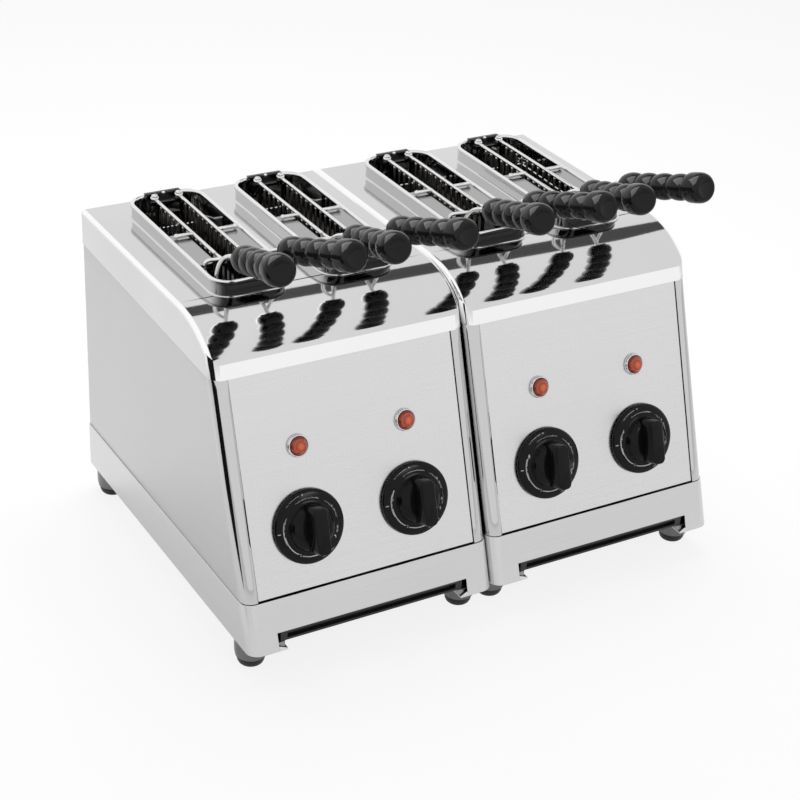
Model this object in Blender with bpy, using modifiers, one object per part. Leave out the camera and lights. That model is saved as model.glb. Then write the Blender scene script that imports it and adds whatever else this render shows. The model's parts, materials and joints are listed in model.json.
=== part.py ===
"""Countertop croque monsieur toaster: two two-slot housings side by side, with four lift-out tongs.

Metres, +Z up, front at -Y. The origin is on the floor below the middle of the housings.
"""
import math

import bmesh
import bpy
from mathutils import Matrix, Vector

# Fits
gap = 0.0003                 # between touching pieces
overrun = 0.004              # how far a cutter runs past what it cuts

# Housings
module_pitch = 0.215         # from the middle of one housing to the middle of the other
module_spacing = 0.0006      # between the two housings
depth = 0.3216               # of the base, at its bottom edge
lean = math.radians(18.6)    # of the front, off the vertical
foot_height = 0.0245
base_height = 0.0385
body_height = 0.163          # at the front, from the base to the top cover
cover_height = 0.0362        # at the front, from the body to the flat top
cover_rear_lift = 0.007      # the cover's lower edge is higher at the back by this
sheet = 0.0015               # wall of the body, the panels and the base
cover_sheet = 0.002
proud = 0.0008               # base and cover stand out past the body by this
post_radius = 0.010          # front corners, seen from above
rear_radius = 0.004          # rear corners, seen from above
edge_radius = 0.0022         # along the cover's top edges

# Sloped front of the top cover
flat_end = 0.131             # from the lower front edge of the base to where the slope starts
skirt_height = 0.0106
slope_foot_height = 0.014    # from the cover's lower edge to the foot of the slope
slope_foot_inset = 0.0065    # from the cover's lower edge back to the foot of the slope
slope_points = 6

# Slots and their raised collars
slot_offset = 0.046          # from the middle of a housing
collar_half_width = 0.0305   # to the middle of the collar's wall
collar_front = 0.1235        # from the lower front edge of the base
collar_rear_space = 0.0246   # from the collar's wall to the cover's back
collar_radius = 0.015
collar_height = 0.0135
collar_wall = 0.0016
bead_radius = 0.002
ledge_setback = 0.0375       # from the collar's front wall to the side ledges
ledge_length = 0.058
ledge_sheet = 0.0012
ledge_round = 0.004
ledge_play = 0.0020          # from a tong's wires to the ledge

# Base and crumb tray
notch_width = 0.166
notch_height = 0.0137
tray_side_space = 0.003      # from the tray to each end of the notch
tray_top_space = 0.0004      # from the tray to the notch's upper edge
tray_rise = 0.0045           # from the base's lower edge to the tray
tray_rear_space = 0.0535     # from the tray to the base's back wall
tray_sheet = 0.001
tray_lip = 0.006             # the tray's front rail, with a groove for the fingertips
tray_groove_rim = 0.002      # above and below that groove
tray_setback = 0.004         # of the tray's front behind the base's front
runner_lap = 0.004           # how far a runner reaches under the tray
runner_width = 0.008

# Feet
foot_radius = 0.013
foot_tip_radius = 0.0105
foot_end_share = 0.85        # the chamfered end's radius, of the tip's
foot_inset = 0.0145          # from the housing's sides to a foot's middle
foot_front_inset = 0.030     # from the base's lower front edge to a front foot's middle
foot_rear_inset = 0.0165

# Control panel
panel_width = 0.188
panel_recess = 0.0010        # behind the posts
panel_gap = 0.0006           # between the panel and the posts, the base and the cover
control_offset = 0.046       # knobs and lamps, from the middle of a housing
knob_rise = 0.046            # of the knobs' middle above the base
lamp_rise = 0.0593           # of the lamps' middle above the knobs'

# Knobs and timers
knob_radius = 0.029
knob_skirt = 0.0045
knob_standoff = 0.0012
knob_face_share = 0.93       # the skirt's radius at its face, of the full radius
hub_radius = 0.0185
hub_height = 0.0125
hub_face_share = 0.85
wing_length = 0.038
wing_width = 0.0135
wing_height = 0.0245
wing_end_share = 0.9         # the radius of the wing's round ends, of half its width
shaft_radius = 0.003
shaft_length = 0.014         # behind the knob's skirt
shaft_play = 0.0005
timer_radius = 0.021
timer_depth = 0.034
timer_bush_radius = 0.006

# Pilot lamps
lamp_radius = 0.009
lamp_rim = 0.0024
lamp_dome = 0.0046
lens_shares = ((0, 1), (0.45, 0.8), (0.78, 0.25), (0.85, 0))  # radius and height of the lens's points
lamp_bezel_share = 0.6       # height of the bezel's outer edge, of its rim
lamp_neck_radius = 0.0058
lamp_neck_length = 0.020

# Rear panel
rear_flange = 0.012          # of the body's back, round its opening
vent_width = 0.120
vent_height = 0.005
vent_pitch = 0.0125
vent_count = 4
vent_rise = 0.067            # of the lowest vent above the base
gland_radius = 0.009
gland_bore = 0.0045
gland_length = 0.0018
gland_inner_length = 0.008
gland_rise = 0.022           # of the gland's middle above the base

# Heat shield and heaters
shield_setback = 0.0025      # from the collar's front wall forward
shield_rise = 0.007          # of its lower edge above the base
shield_drop = 0.0025         # of its upper edge below the cover's inside
heater_tube_radius = 0.005
heater_tube_pitch = 0.030
heater_tube_count = 3
heater_bar_width = 0.014
heater_bar_depth = 0.008
heater_bar_height = 0.100
heater_drop = 0.0082         # of the bars' upper ends below the cover's inside
heater_outer_offset = 0.087

# Tongs
wire_radius = 0.0016
rod_radius = 0.0011
tong_half_gap = 0.0105       # from the middle of a slot to a cage's middle
cage_front_space = 0.040     # from the collar's front wall to the cage
cage_height = 0.1205
cage_corner = 0.006
cage_rod_count = 5
pivot_setback = 0.0105       # from the collar's rear wall to the hinge axis
eye_radius = 0.0034
eye_height = 0.0042
pin_radius = 0.0014
pin_play = 0.0004
bridge_width = 0.030
bridge_sheet = 0.002
pin_head_radius = 0.0026
pin_head_height = 0.0012
peg_length = 0.0145
peg_inset = 0.008            # of the pegs from the ledges' rear ends
ball_radius = 0.0022
loop_reach = 0.0150          # of the front loop, out from the cage
loop_space = 0.0057          # from the cage's front forward to the loop's rear wire
loop_length = 0.0200         # of the loop's side wire, which hangs in the slot
loop_rise = 0.0028           # of its rear wire's outer end, above the tong's top wire
loop_drop = 0.0075           # of its side wire, below the tong's top wire
loop_bend = 0.003
arch_points = 5              # from the side wire up to the grip
shank_overlap = 0.0018       # how far a shank's end lies inside the cage's wire

# Grips
grip_length = 0.0945
grip_radius = 0.0108
grip_groove_radius = 0.0085
grip_collar_radius = 0.0068
grip_cap_radius = 0.0122
grip_bulges = 4
bulge_shares = (0.25, 0.80)  # where a bulge's crown begins and ends, along its length
grip_collar_share = 0.03     # of the grip's length
grip_cap_shares = (0.79, 0.84, 0.95)  # where the cap starts, is full and begins to close
grip_end_share = 0.8         # radius of the cap's flat end, of the cap's
grip_bore_depth = 0.016
grip_start_spread = 0.0178   # from the middle of a slot to a grip's near end
grip_end_spread = 0.0292
grip_start_rise = 0.0230     # of the grip's near end above the tong's top wire
grip_end_rise = 0.0529
grip_clearance = 0.0519      # from the cage forward to the grip's near end

# Places worked out from the sizes above
base_bottom = foot_height
base_top = base_bottom + base_height
cover_low = base_top + body_height
top = cover_low + cover_height
front = -depth / 2
rear = depth / 2
module_width = module_pitch - module_spacing
body_width = module_width - 2 * proud
tray_low = base_bottom + tray_rise
tray_top = base_bottom + notch_height - tray_top_space
tray_half = notch_width / 2 - tray_side_space
knob_height = base_top + knob_rise
lamp_height = knob_height + lamp_rise
heater_high = top - cover_sheet - heater_drop
collar_start = front + collar_front
collar_end = rear - collar_rear_space
rim = top + collar_height
bead_z = rim - bead_radius
pivot_y = collar_end - pivot_setback
wire_z = rim
cage_rear = pivot_y - eye_radius - wire_radius
cage_front = collar_start + cage_front_space
ledge_top = wire_z - wire_radius - gap
ledge_start = collar_start + ledge_setback
ledge_end = ledge_start + ledge_length
peg_y = ledge_end - peg_inset
peg_z = ledge_top + gap + ball_radius
shield_y = collar_start - shield_setback
rear_panel_y = rear - proud - sheet - gap - sheet / 2
panel_normal = Vector((0, -math.cos(lean), math.sin(lean)))


def front_at(z):
    """How far back the base's front plane is at a height."""
    return front + (z - base_bottom) * math.tan(lean)


def clear_scene():
    for obj in list(bpy.data.objects):
        bpy.data.objects.remove(obj, do_unlink=True)


clear_scene()
parts = bpy.data.collections.new("croque_monsieur_toaster")
tools = bpy.data.collections.new("cutters")
bpy.context.scene.collection.children.link(parts)
bpy.context.scene.collection.children.link(tools)


def finish(name, colour, roughness, metallic):
    """A plain material with one colour."""
    mat = bpy.data.materials.new(name)
    mat.use_nodes = True
    shader = mat.node_tree.nodes["Principled BSDF"]
    shader.inputs["Base Color"].default_value = (*colour, 1)
    shader.inputs["Roughness"].default_value = roughness
    shader.inputs["Metallic"].default_value = metallic
    mat.diffuse_color = (*colour, 1)
    return mat


finishes = {
    "polished_steel": ((0.80, 0.80, 0.80), 0.08, 1.0),
    "brushed_steel": ((0.66, 0.66, 0.66), 0.35, 1.0),
    "rough_steel": ((0.45, 0.45, 0.45), 0.55, 1.0),
    "wire": ((0.85, 0.85, 0.84), 0.15, 1.0),
    "black_enamel": ((0.02, 0.02, 0.02), 0.35, 0.0),
    "bakelite": ((0.010, 0.010, 0.011), 0.12, 0.0),
    "rubber": ((0.03, 0.03, 0.03), 0.6, 0.0),
    "lamp_orange": ((0.85, 0.13, 0.03), 0.15, 0.0),
    "quartz": ((0.80, 0.78, 0.74), 0.3, 0.0),
    "timer_case": ((0.55, 0.55, 0.52), 0.5, 0.0),
}


def place(name, mesh, look, matrix=None, collection=parts):
    """An object from a mesh, with a finish of its own."""
    obj = bpy.data.objects.new(name, mesh)
    collection.objects.link(obj)
    if matrix is not None:
        obj.matrix_world = matrix
    if look:
        mesh.materials.clear()
        mesh.materials.append(finish(name, *finishes[look]))
    return obj


def helper(name, mesh, matrix=None):
    """A tool object: it cuts or is joined, and isn't part of the model."""
    obj = place(name, mesh, None, matrix, tools)
    obj.hide_render = True
    obj.display_type = "WIRE"
    return obj


def settled(obj):
    """The object's mesh with its modifiers applied."""
    bpy.context.view_layer.update()
    deps = bpy.context.evaluated_depsgraph_get()
    return bpy.data.meshes.new_from_object(obj.evaluated_get(deps), depsgraph=deps)


def combine(obj, tool, operation, solver="EXACT"):
    """Cuts or joins, applies it and removes the tool. MANIFOLD is for the thin wires, ledges and wings."""
    mod = obj.modifiers.new(operation.lower(), "BOOLEAN")
    mod.operation = operation
    mod.solver = solver
    mod.object = tool
    mesh = settled(obj)
    obj.modifiers.clear()
    obj.data = mesh
    bpy.data.objects.remove(tool, do_unlink=True)


def cut(obj, tool):
    combine(obj, tool, "DIFFERENCE")


def join(obj, tool):
    combine(obj, tool, "UNION")


def fuse(obj, tool):
    combine(obj, tool, "UNION", "MANIFOLD")


def curve_mesh(name, curve):
    """The closed mesh of a curve, its caps welded."""
    obj = bpy.data.objects.new(name, curve)
    tools.objects.link(obj)
    mesh = settled(obj)
    bpy.data.objects.remove(obj, do_unlink=True)
    bm = bmesh.new()
    bm.from_mesh(mesh)
    bmesh.ops.remove_doubles(bm, verts=bm.verts, dist=gap / 30)
    bm.to_mesh(mesh)
    bm.free()
    mesh.name = name
    return mesh


def outline(name, loops, thickness):
    """A flat plate in XY, its thickness centred on Z, from closed outlines; inner ones are holes."""
    curve = bpy.data.curves.new(name, "CURVE")
    curve.dimensions = "2D"
    curve.fill_mode = "BOTH"
    curve.extrude = thickness / 2
    for loop in loops:
        spline = curve.splines.new("POLY")
        spline.points.add(len(loop) - 1)
        for point, (x, y) in zip(spline.points, loop):
            point.co = (x, y, 0, 1)
        spline.use_cyclic_u = True
    return curve_mesh(name, curve)


def tube(name, points, radius, closed=False, resolution=1):
    """A round wire through points."""
    curve = bpy.data.curves.new(name, "CURVE")
    curve.dimensions = "3D"
    curve.bevel_depth = radius
    curve.bevel_resolution = resolution
    curve.use_fill_caps = True
    spline = curve.splines.new("POLY")
    spline.points.add(len(points) - 1)
    for point, place_at in zip(spline.points, points):
        point.co = (*place_at, 1)
    spline.use_cyclic_u = closed
    return curve_mesh(name, curve)


def turned(name, profile, sides):
    """A turned solid about Z; the profile (radius, height) runs from the top down the outer side."""
    mesh = bpy.data.meshes.new(name)
    bm = bmesh.new()
    ring = profile[0] == profile[-1]
    verts = [bm.verts.new((r, 0, z)) for r, z in (profile[:-1] if ring else profile)]
    for a, b in zip(verts, verts[1:] + (verts[:1] if ring else [])):
        bm.edges.new((a, b))
    bm.to_mesh(mesh)
    bm.free()
    obj = bpy.data.objects.new(name, mesh)
    tools.objects.link(obj)
    mod = obj.modifiers.new("screw", "SCREW")
    mod.steps = sides
    mod.render_steps = sides
    mod.use_merge_vertices = True
    mod.merge_threshold = gap / 30
    mesh = settled(obj)
    bpy.data.objects.remove(obj, do_unlink=True)
    shade(mesh)
    mesh.name = name
    return mesh


def shade(mesh):
    """Smooth faces with sharp edges kept."""
    mesh.shade_smooth()
    mesh.set_sharp_from_angle(angle=math.radians(35))


def box(name, low, high):
    """A box between two corners."""
    mesh = bpy.data.meshes.new(name)
    bm = bmesh.new()
    low, high = Vector(low), Vector(high)
    size = Matrix.Diagonal((*(high - low), 1))
    bmesh.ops.create_cube(bm, size=1, matrix=Matrix.Translation((low + high) / 2) @ size)
    bm.to_mesh(mesh)
    bm.free()
    return mesh


def arc(cx, cy, radius, start, end, steps):
    """Points of an arc, both ends included."""
    turn = (end - start) / steps
    return [(cx + radius * math.cos(start + turn * i), cy + radius * math.sin(start + turn * i))
            for i in range(steps + 1)]


def rounded_rectangle(x0, y0, x1, y1, radius, steps=2):
    """A rectangle's outline with round corners, anticlockwise from the lower left."""
    quarter = math.pi / 2
    centres = ((x0 + radius, y0 + radius), (x1 - radius, y0 + radius),
               (x1 - radius, y1 - radius), (x0 + radius, y1 - radius))
    points = []
    for i, (cx, cy) in enumerate(centres):
        points += arc(cx, cy, radius, math.pi + quarter * i, math.pi + quarter * (i + 1), steps)
    return points


def circle(cx, cy, radius, sides=12):
    """The outline of a circle."""
    return arc(cx, cy, radius, 0, 2 * math.pi * (sides - 1) / sides, sides - 1)


def housing_block(name, width, low, high, inset, high_rear=None, front_round=0.0, rear_round=0.0):
    """A block with the leaning front and rounded upright edges; inset moves all its sides in."""
    high_rear = high if high_rear is None else high_rear
    half = width / 2 - inset
    back = rear - inset
    mesh = bpy.data.meshes.new(name)
    bm = bmesh.new()
    bmesh.ops.create_cube(bm, size=2)
    for v in bm.verts:
        at_rear = v.co.y > 0
        z = low if v.co.z < 0 else (high_rear if at_rear else high)
        v.co.x *= half
        v.co.y = back if at_rear else front_at(z) + inset / math.cos(lean)
        v.co.z = z
    for radius, side in ((front_round, -1), (rear_round, 1)):
        upright = [e for e in bm.edges
                   if abs(e.verts[0].co.z - e.verts[1].co.z) > base_height / 4
                   and all((v.co.y > 0) == (side > 0) for v in e.verts)]
        if radius > inset:
            bmesh.ops.bevel(bm, geom=upright, offset=radius - inset, segments=4, profile=0.5,
                            affect="EDGES", clamp_overlap=True, material=-1)
    bm.to_mesh(mesh)
    bm.free()
    return mesh


def cover_profile(inset, low_drop):
    """The cover's outline seen from the side, as (y, z), from the lower rear corner round to the front."""
    low_front = front_at(cover_low) + inset / math.cos(lean)
    foot_y = front_at(cover_low) + slope_foot_inset
    foot_z = cover_low + slope_foot_height
    start_y = front + flat_end
    bend_y = foot_y + (top - foot_z)
    points = [(rear - inset, cover_low + cover_rear_lift - low_drop), (rear - inset, top - inset)]
    for i in range(slope_points + 1):
        t = i / slope_points
        y = (1 - t) ** 2 * start_y + 2 * t * (1 - t) * bend_y + t * t * foot_y
        z = (1 - t * t) * top + t * t * foot_z
        down = Vector((-2 * (1 - t) * (start_y - bend_y) - 2 * t * (bend_y - foot_y),
                       -2 * t * (top - foot_z))).normalized()
        points.append((y - down.y * inset, z + down.x * inset))
    points.append((front_at(cover_low + skirt_height) + inset / math.cos(lean), cover_low + skirt_height))
    points.append((low_front - low_drop * math.tan(lean), cover_low - low_drop))
    return points


def side_prism(name, profile, width):
    """A side outline (y, z) made as wide as width along X."""
    mesh = outline(name, [profile], width)
    mesh.transform(Matrix(((0, 0, 1, 0), (1, 0, 0, 0), (0, 1, 0, 0), (0, 0, 0, 1))))
    return mesh


def round_edges(mesh, edges_of, radius, segments):
    """Rounds the edges that a test picks."""
    bm = bmesh.new()
    bm.from_mesh(mesh)
    bmesh.ops.bevel(bm, geom=[e for e in bm.edges if edges_of(e)], offset=radius, segments=segments,
                    profile=0.5, affect="EDGES", clamp_overlap=True, material=-1)
    bm.to_mesh(mesh)
    bm.free()


def dissolve_flat(mesh):
    """Joins coplanar triangles, which keeps the solid small."""
    bm = bmesh.new()
    bm.from_mesh(mesh)
    bmesh.ops.dissolve_limit(bm, angle_limit=math.radians(0.05), verts=bm.verts, edges=bm.edges)
    bm.to_mesh(mesh)
    bm.free()


def panel_matrix(x, z, out=0.0):
    """Local Z points out of the control panel, local Y up along it; the origin is on its face."""
    face = Vector((x, front_at(z) + (panel_recess + proud) / math.cos(lean), z))
    turn = Matrix.Rotation(math.pi / 2 - lean, 4, "X")
    return Matrix.Translation(face + panel_normal * out) @ turn


def base_pan(side, cx):
    at = Matrix.Translation((cx, 0, 0))
    outer = housing_block("base", module_width, base_bottom, base_top, 0,
                          front_round=post_radius, rear_round=rear_radius)
    obj = place(side + "_base_pan", outer, "brushed_steel", at)
    inner = housing_block("base_hollow", module_width, base_bottom + sheet, base_top + overrun, sheet,
                          front_round=post_radius, rear_round=rear_radius)
    cut(obj, helper("base_hollow", inner, at))
    half = notch_width / 2
    notch = box("notch", (-half, front - overrun, base_bottom - overrun),
                (half, front_at(base_bottom + notch_height) + sheet + overrun, base_bottom + notch_height))
    cut(obj, helper("notch", notch, at))
    half = tray_half - runner_lap
    floor_end = rear - sheet - tray_rear_space - runner_lap
    floor_hole = box("floor_hole", (-half, front - overrun, base_bottom - overrun),
                     (half, floor_end, base_bottom + sheet + overrun))
    cut(obj, helper("floor_hole", floor_hole, at))
    start = front_at(tray_low) + tray_setback
    for s in (-1, 1):
        inner, outer = sorted((s * half, s * (half + runner_width)))
        runner = box("runner", (inner, start, base_bottom + sheet / 2), (outer, floor_end, tray_low - gap))
        join(obj, helper("runner", runner, at))
    return obj


def crumb_tray(side, cx):
    at = Matrix.Translation((cx, 0, 0))
    start = front_at(tray_low) + tray_setback
    end = rear - sheet - tray_rear_space
    block = box("tray", (-tray_half, start, tray_low), (tray_half, end, tray_top))
    obj = place(side + "_crumb_tray", block, "black_enamel", at)
    half = tray_half - tray_sheet
    hollow = box("tray_hollow", (-half, start + tray_lip, tray_low + tray_sheet),
                 (half, end - tray_sheet, tray_top + overrun))
    cut(obj, helper("tray_hollow", hollow, at))
    half = tray_half - tray_lip
    groove = box("finger_groove", (-half, start - overrun, tray_low + tray_groove_rim),
                 (half, start + tray_lip - tray_sheet, tray_top - tray_groove_rim))
    cut(obj, helper("finger_groove", groove, at))
    return obj


def body_wrap(side, cx):
    at = Matrix.Translation((cx, 0, 0))
    low, high = base_top + gap, cover_low - gap
    high_rear = high + cover_rear_lift
    outer = housing_block("body", module_width, low, high, proud, high_rear,
                          front_round=post_radius, rear_round=rear_radius)
    obj = place(side + "_body_wrap", outer, "brushed_steel", at)
    inner = housing_block("body_hollow", module_width, low - overrun, high + overrun, proud + sheet,
                          high_rear + overrun, front_round=post_radius)
    cut(obj, helper("body_hollow", inner, at))
    half = panel_width / 2 + panel_gap
    window = box("window", (-half, front, low - overrun), (half, shield_y, high_rear + overrun))
    cut(obj, helper("window", window, at))
    half = body_width / 2 - sheet - rear_flange
    back = box("back_opening", (-half, shield_y, low + rear_flange),
               (half, rear + overrun, high - rear_flange))
    cut(obj, helper("back_opening", back, at))
    return obj


def control_panel(side, cx):
    low = base_top + panel_gap
    high = cover_low - panel_gap
    middle = (low + high) / 2
    length = (high - low) / math.cos(lean)
    def up(z):
        return (z - middle) / math.cos(lean)
    half = panel_width / 2
    loops = [[(-half, -length / 2), (half, -length / 2), (half, length / 2), (-half, length / 2)]]
    for s in (-1, 1):
        loops.append(circle(s * control_offset, up(knob_height), shaft_radius + shaft_play))
        loops.append(circle(s * control_offset, up(lamp_height), lamp_neck_radius + gap))
    plate = outline("panel", loops, sheet)
    return place(side + "_control_panel", plate, "brushed_steel", panel_matrix(cx, middle, -sheet / 2))


def slot_ring(x, grow):
    """The outline of a collar's wall: grow is how far out it lies from the wall's middle."""
    return rounded_rectangle(x - collar_half_width - grow, collar_start - grow,
                             x + collar_half_width + grow, collar_end + grow, collar_radius + grow)


def slot_hole(obj, x):
    hole = outline("slot", [slot_ring(x, -collar_wall / 2)], cover_sheet + 2 * overrun)
    cut(obj, helper("slot", hole, obj.matrix_world @ Matrix.Translation((0, 0, top - cover_sheet / 2))))


def collar(obj, x):
    """A raised collar with a rolled rim round one slot, and the ledges that the tong's pegs sit on."""
    wall = collar_wall / 2
    low = top - cover_sheet
    height = bead_z - low
    ring_mesh = outline("collar", [slot_ring(x, wall), slot_ring(x, -wall)], height)
    fuse(obj, helper("collar", ring_mesh, obj.matrix_world @ Matrix.Translation((0, 0, low + height / 2))))
    bead = tube("bead", [(px, py, bead_z) for px, py in slot_ring(x, 0)], bead_radius, closed=True)
    fuse(obj, helper("bead", bead, obj.matrix_world))
    for s in (-1, 1):
        fuse(obj, helper("ledge", ledge(x, s), obj.matrix_world))


def ledge(x, s):
    """One side ledge, from the collar's wall to just short of the tong."""
    outer = collar_half_width + collar_wall / 4
    inner = tong_half_gap + wire_radius + ledge_play
    middle = inner + ledge_round
    points = [(outer, ledge_start)]
    points += arc(middle, ledge_start + ledge_round, ledge_round, -math.pi / 2, -math.pi, 3)
    points += arc(middle, ledge_end - ledge_round, ledge_round, math.pi, math.pi / 2, 3)
    points += [(outer, ledge_end)]
    mesh = outline("ledge", [[(x + s * px, py) for px, py in points]], ledge_sheet)
    mesh.transform(Matrix.Translation((0, 0, ledge_top - ledge_sheet / 2)))
    return mesh


def cover_solid(name, inset, low_drop, at):
    """The cover's side outline as a prism, its front corners rounded like the posts below."""
    prism = side_prism(name, cover_profile(inset, low_drop), module_width - 2 * inset)
    dissolve_flat(prism)
    half = module_width / 2 - inset

    def top_edge(e):
        return abs(e.verts[0].co.x - e.verts[1].co.x) < half \
            and all(v.co.z > cover_low + skirt_height for v in e.verts) \
            and abs(e.verts[0].co.y - e.verts[1].co.y) > edge_radius / 2

    if not inset:
        round_edges(prism, top_edge, edge_radius, 2)
    obj = helper(name, prism, at)
    block = housing_block(name, module_width, cover_low - 2 * low_drop - overrun, top + overrun, inset,
                          front_round=post_radius, rear_round=rear_radius)
    combine(obj, helper(name, block, at), "INTERSECT")
    return obj


def top_cover(side, cx):
    at = Matrix.Translation((cx, 0, 0))
    solid = cover_solid("cover", 0, 0, at)
    obj = place(side + "_top_cover", solid.data, "polished_steel", at)
    bpy.data.objects.remove(solid, do_unlink=True)
    cut(obj, cover_solid("cover_hollow", cover_sheet, overrun, at))
    for s in (-1, 1):
        slot_hole(obj, s * slot_offset)
    for s in (-1, 1):
        collar(obj, s * slot_offset)
    return obj


def rear_panel(side, cx):
    low = base_top + gap
    high = cover_low - gap
    half = body_width / 2 - sheet - gap
    loops = [[(-half, low), (half, low), (half, high), (-half, high)]]
    for i in range(vent_count):
        z = base_top + vent_rise + i * vent_pitch
        loops.append([(-vent_width / 2, z), (vent_width / 2, z), (vent_width / 2, z + vent_height),
                      (-vent_width / 2, z + vent_height)])
    loops.append(circle(0, base_top + gland_rise, gland_bore))
    plate = outline("rear_panel", loops, sheet)
    upright = Matrix.Translation((cx, rear_panel_y, 0)) @ Matrix.Rotation(math.pi / 2, 4, "X")
    obj = place(side + "_rear_panel", plate, "rough_steel", upright)
    bush = turned("gland", [(gland_bore, gland_length), (gland_radius, gland_length),
                            (gland_radius, -gland_inner_length), (gland_bore, -gland_inner_length),
                            (gland_bore, gland_length)], 12)
    middle = Matrix.Translation((cx, rear_panel_y, base_top + gland_rise))
    behind = middle @ Matrix.Rotation(-math.pi / 2, 4, "X")
    join(obj, helper("gland", bush, behind))
    return obj


def heat_shield(side, cx):
    half = body_width / 2 - sheet - gap
    high = top - cover_sheet - shield_drop
    mesh = box("shield", (-half, shield_y - sheet, base_top + shield_rise), (half, shield_y, high))
    return place(side + "_heat_shield", mesh, "rough_steel", Matrix.Translation((cx, 0, 0)))


def heater(side, name, x):
    """Quartz tubes between two end bars, held between the heat shield and the rear panel."""
    half = heater_bar_width / 2
    near = shield_y + gap
    far = rear_panel_y - sheet / 2 - gap
    low = heater_high - heater_bar_height
    mesh = box("bar", (x - half, near, low), (x + half, near + heater_bar_depth, heater_high))
    obj = place(side + "_heater_" + name, mesh, "quartz")
    far_bar = box("bar", (x - half, far - heater_bar_depth, low), (x + half, far, heater_high))
    join(obj, helper("bar", far_bar))
    for i in range(heater_tube_count):
        z = low + heater_bar_height / 2 + (i - (heater_tube_count - 1) / 2) * heater_tube_pitch
        inside = heater_bar_depth / 2
        rod = tube("tube", [(x, near + inside, z), (x, far - inside, z)], heater_tube_radius, resolution=2)
        join(obj, helper("tube", rod))
    return obj


def foot_mesh():
    tip_end = foot_tip_radius * foot_end_share
    return turned("foot", [(0, foot_height - gap), (foot_radius, foot_height - gap),
                           (foot_radius, foot_height / 2), (foot_tip_radius, foot_height / 5),
                           (foot_tip_radius, foot_height / 12), (tip_end, 0), (0, 0)], 10)


def feet(side, cx, shared):
    reach = module_width / 2 - foot_inset
    for row, y in (("front", front + foot_front_inset), ("rear", rear - foot_rear_inset)):
        for hand, x in (("left", cx - reach), ("right", cx + reach)):
            place("{}_foot_{}_{}".format(side, row, hand), shared["foot"].copy(), "rubber",
                  Matrix.Translation((x, y, 0)))


def knob_mesh():
    """Skirt, hub and a grip wing, with the timer's shaft behind; its face side is +Z."""
    back = knob_standoff
    skirt = back + knob_skirt
    profile = [(0, back + hub_height), (hub_radius * hub_face_share, back + hub_height),
               (hub_radius, skirt + knob_skirt / 2), (hub_radius, skirt),
               (knob_radius * knob_face_share, skirt), (knob_radius, back + knob_skirt / 2),
               (knob_radius, back), (shaft_radius, back), (shaft_radius, back - shaft_length),
               (0, back - shaft_length)]
    obj = helper("knob", turned("knob", profile, 16))
    half, wide = wing_length / 2, wing_width / 2
    plan = rounded_rectangle(-wide, -half, wide, half, wide * wing_end_share)
    thick = wing_height - hub_height / 2
    wing = outline("wing", [plan], thick)
    round_edges(wing, lambda e: all(v.co.z > 0 for v in e.verts), wing_width / 6, 1)
    wing.transform(Matrix.Translation((0, 0, back + wing_height - thick / 2)))
    fuse(obj, helper("wing", wing))
    mesh = obj.data
    bpy.data.objects.remove(obj, do_unlink=True)
    shade(mesh)
    return mesh


def timer_mesh():
    """A clockwork timer behind the panel, with a bush bored for the knob's shaft."""
    back = -sheet - gap
    bore = shaft_radius + shaft_play
    end = knob_standoff - shaft_length - gap
    profile = [(0, end), (bore, end), (bore, back), (timer_bush_radius, back),
               (timer_bush_radius, back - knob_skirt), (timer_radius, back - knob_skirt),
               (timer_radius, back - timer_depth), (0, back - timer_depth)]
    return turned("timer", profile, 12)


def lamp_mesh():
    """A pilot lamp: domed lens and rim in front of the panel, its body behind."""
    neck = lamp_neck_radius
    profile = [(lamp_radius * out, lamp_rim + lamp_dome * up) for out, up in lens_shares]
    profile += [(lamp_radius, lamp_rim * lamp_bezel_share), (lamp_radius, gap), (neck, gap),
                (neck, -lamp_neck_length), (0, -lamp_neck_length)]
    return turned("lamp", profile, 12)


def controls(side, cx, shared):
    for hand, s in (("left", -1), ("right", 1)):
        x = cx + s * control_offset
        at_knob = panel_matrix(x, knob_height)
        at_lamp = panel_matrix(x, lamp_height)
        place("{}_timer_{}".format(side, hand), shared["timer"].copy(), "timer_case", at_knob)
        place("{}_knob_{}".format(side, hand), shared["knob"].copy(), "bakelite", at_knob)
        place("{}_pilot_lamp_{}".format(side, hand), shared["lamp"].copy(), "lamp_orange", at_lamp)


def grip_axis():
    """Near and far ends of the right grip's middle line, from the hinge axis at wire height."""
    near = Vector((grip_start_spread, cage_front - pivot_y - grip_clearance, grip_start_rise))
    spread = grip_end_spread - grip_start_spread
    rise = grip_end_rise - grip_start_rise
    along = math.sqrt(grip_length ** 2 - spread ** 2 - rise ** 2)
    return near, near + Vector((spread, -along, rise))


def loop_path(x, near_y, ferrule):
    """The front loop: out over the slot, down inside the collar, forward, and in an arch up to the grip."""
    out = x + loop_reach
    far_y = near_y - loop_length
    low = -loop_drop
    points = [Vector((x, near_y, 0)), Vector((out - loop_bend, near_y, loop_rise)),
              Vector((out, near_y, loop_rise - loop_bend)), Vector((out, near_y, low + loop_bend)),
              Vector((out, near_y - loop_bend, low)), Vector((out, far_y + loop_bend, low))]
    foot = Vector((out, far_y, low + loop_bend))
    crown = Vector((out, far_y - loop_bend, ferrule.z))
    for i in range(arch_points + 1):
        t = i / arch_points
        points.append(foot * (1 - t) ** 2 + crown * (2 * t * (1 - t)) + ferrule * t ** 2)
    return points


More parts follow.
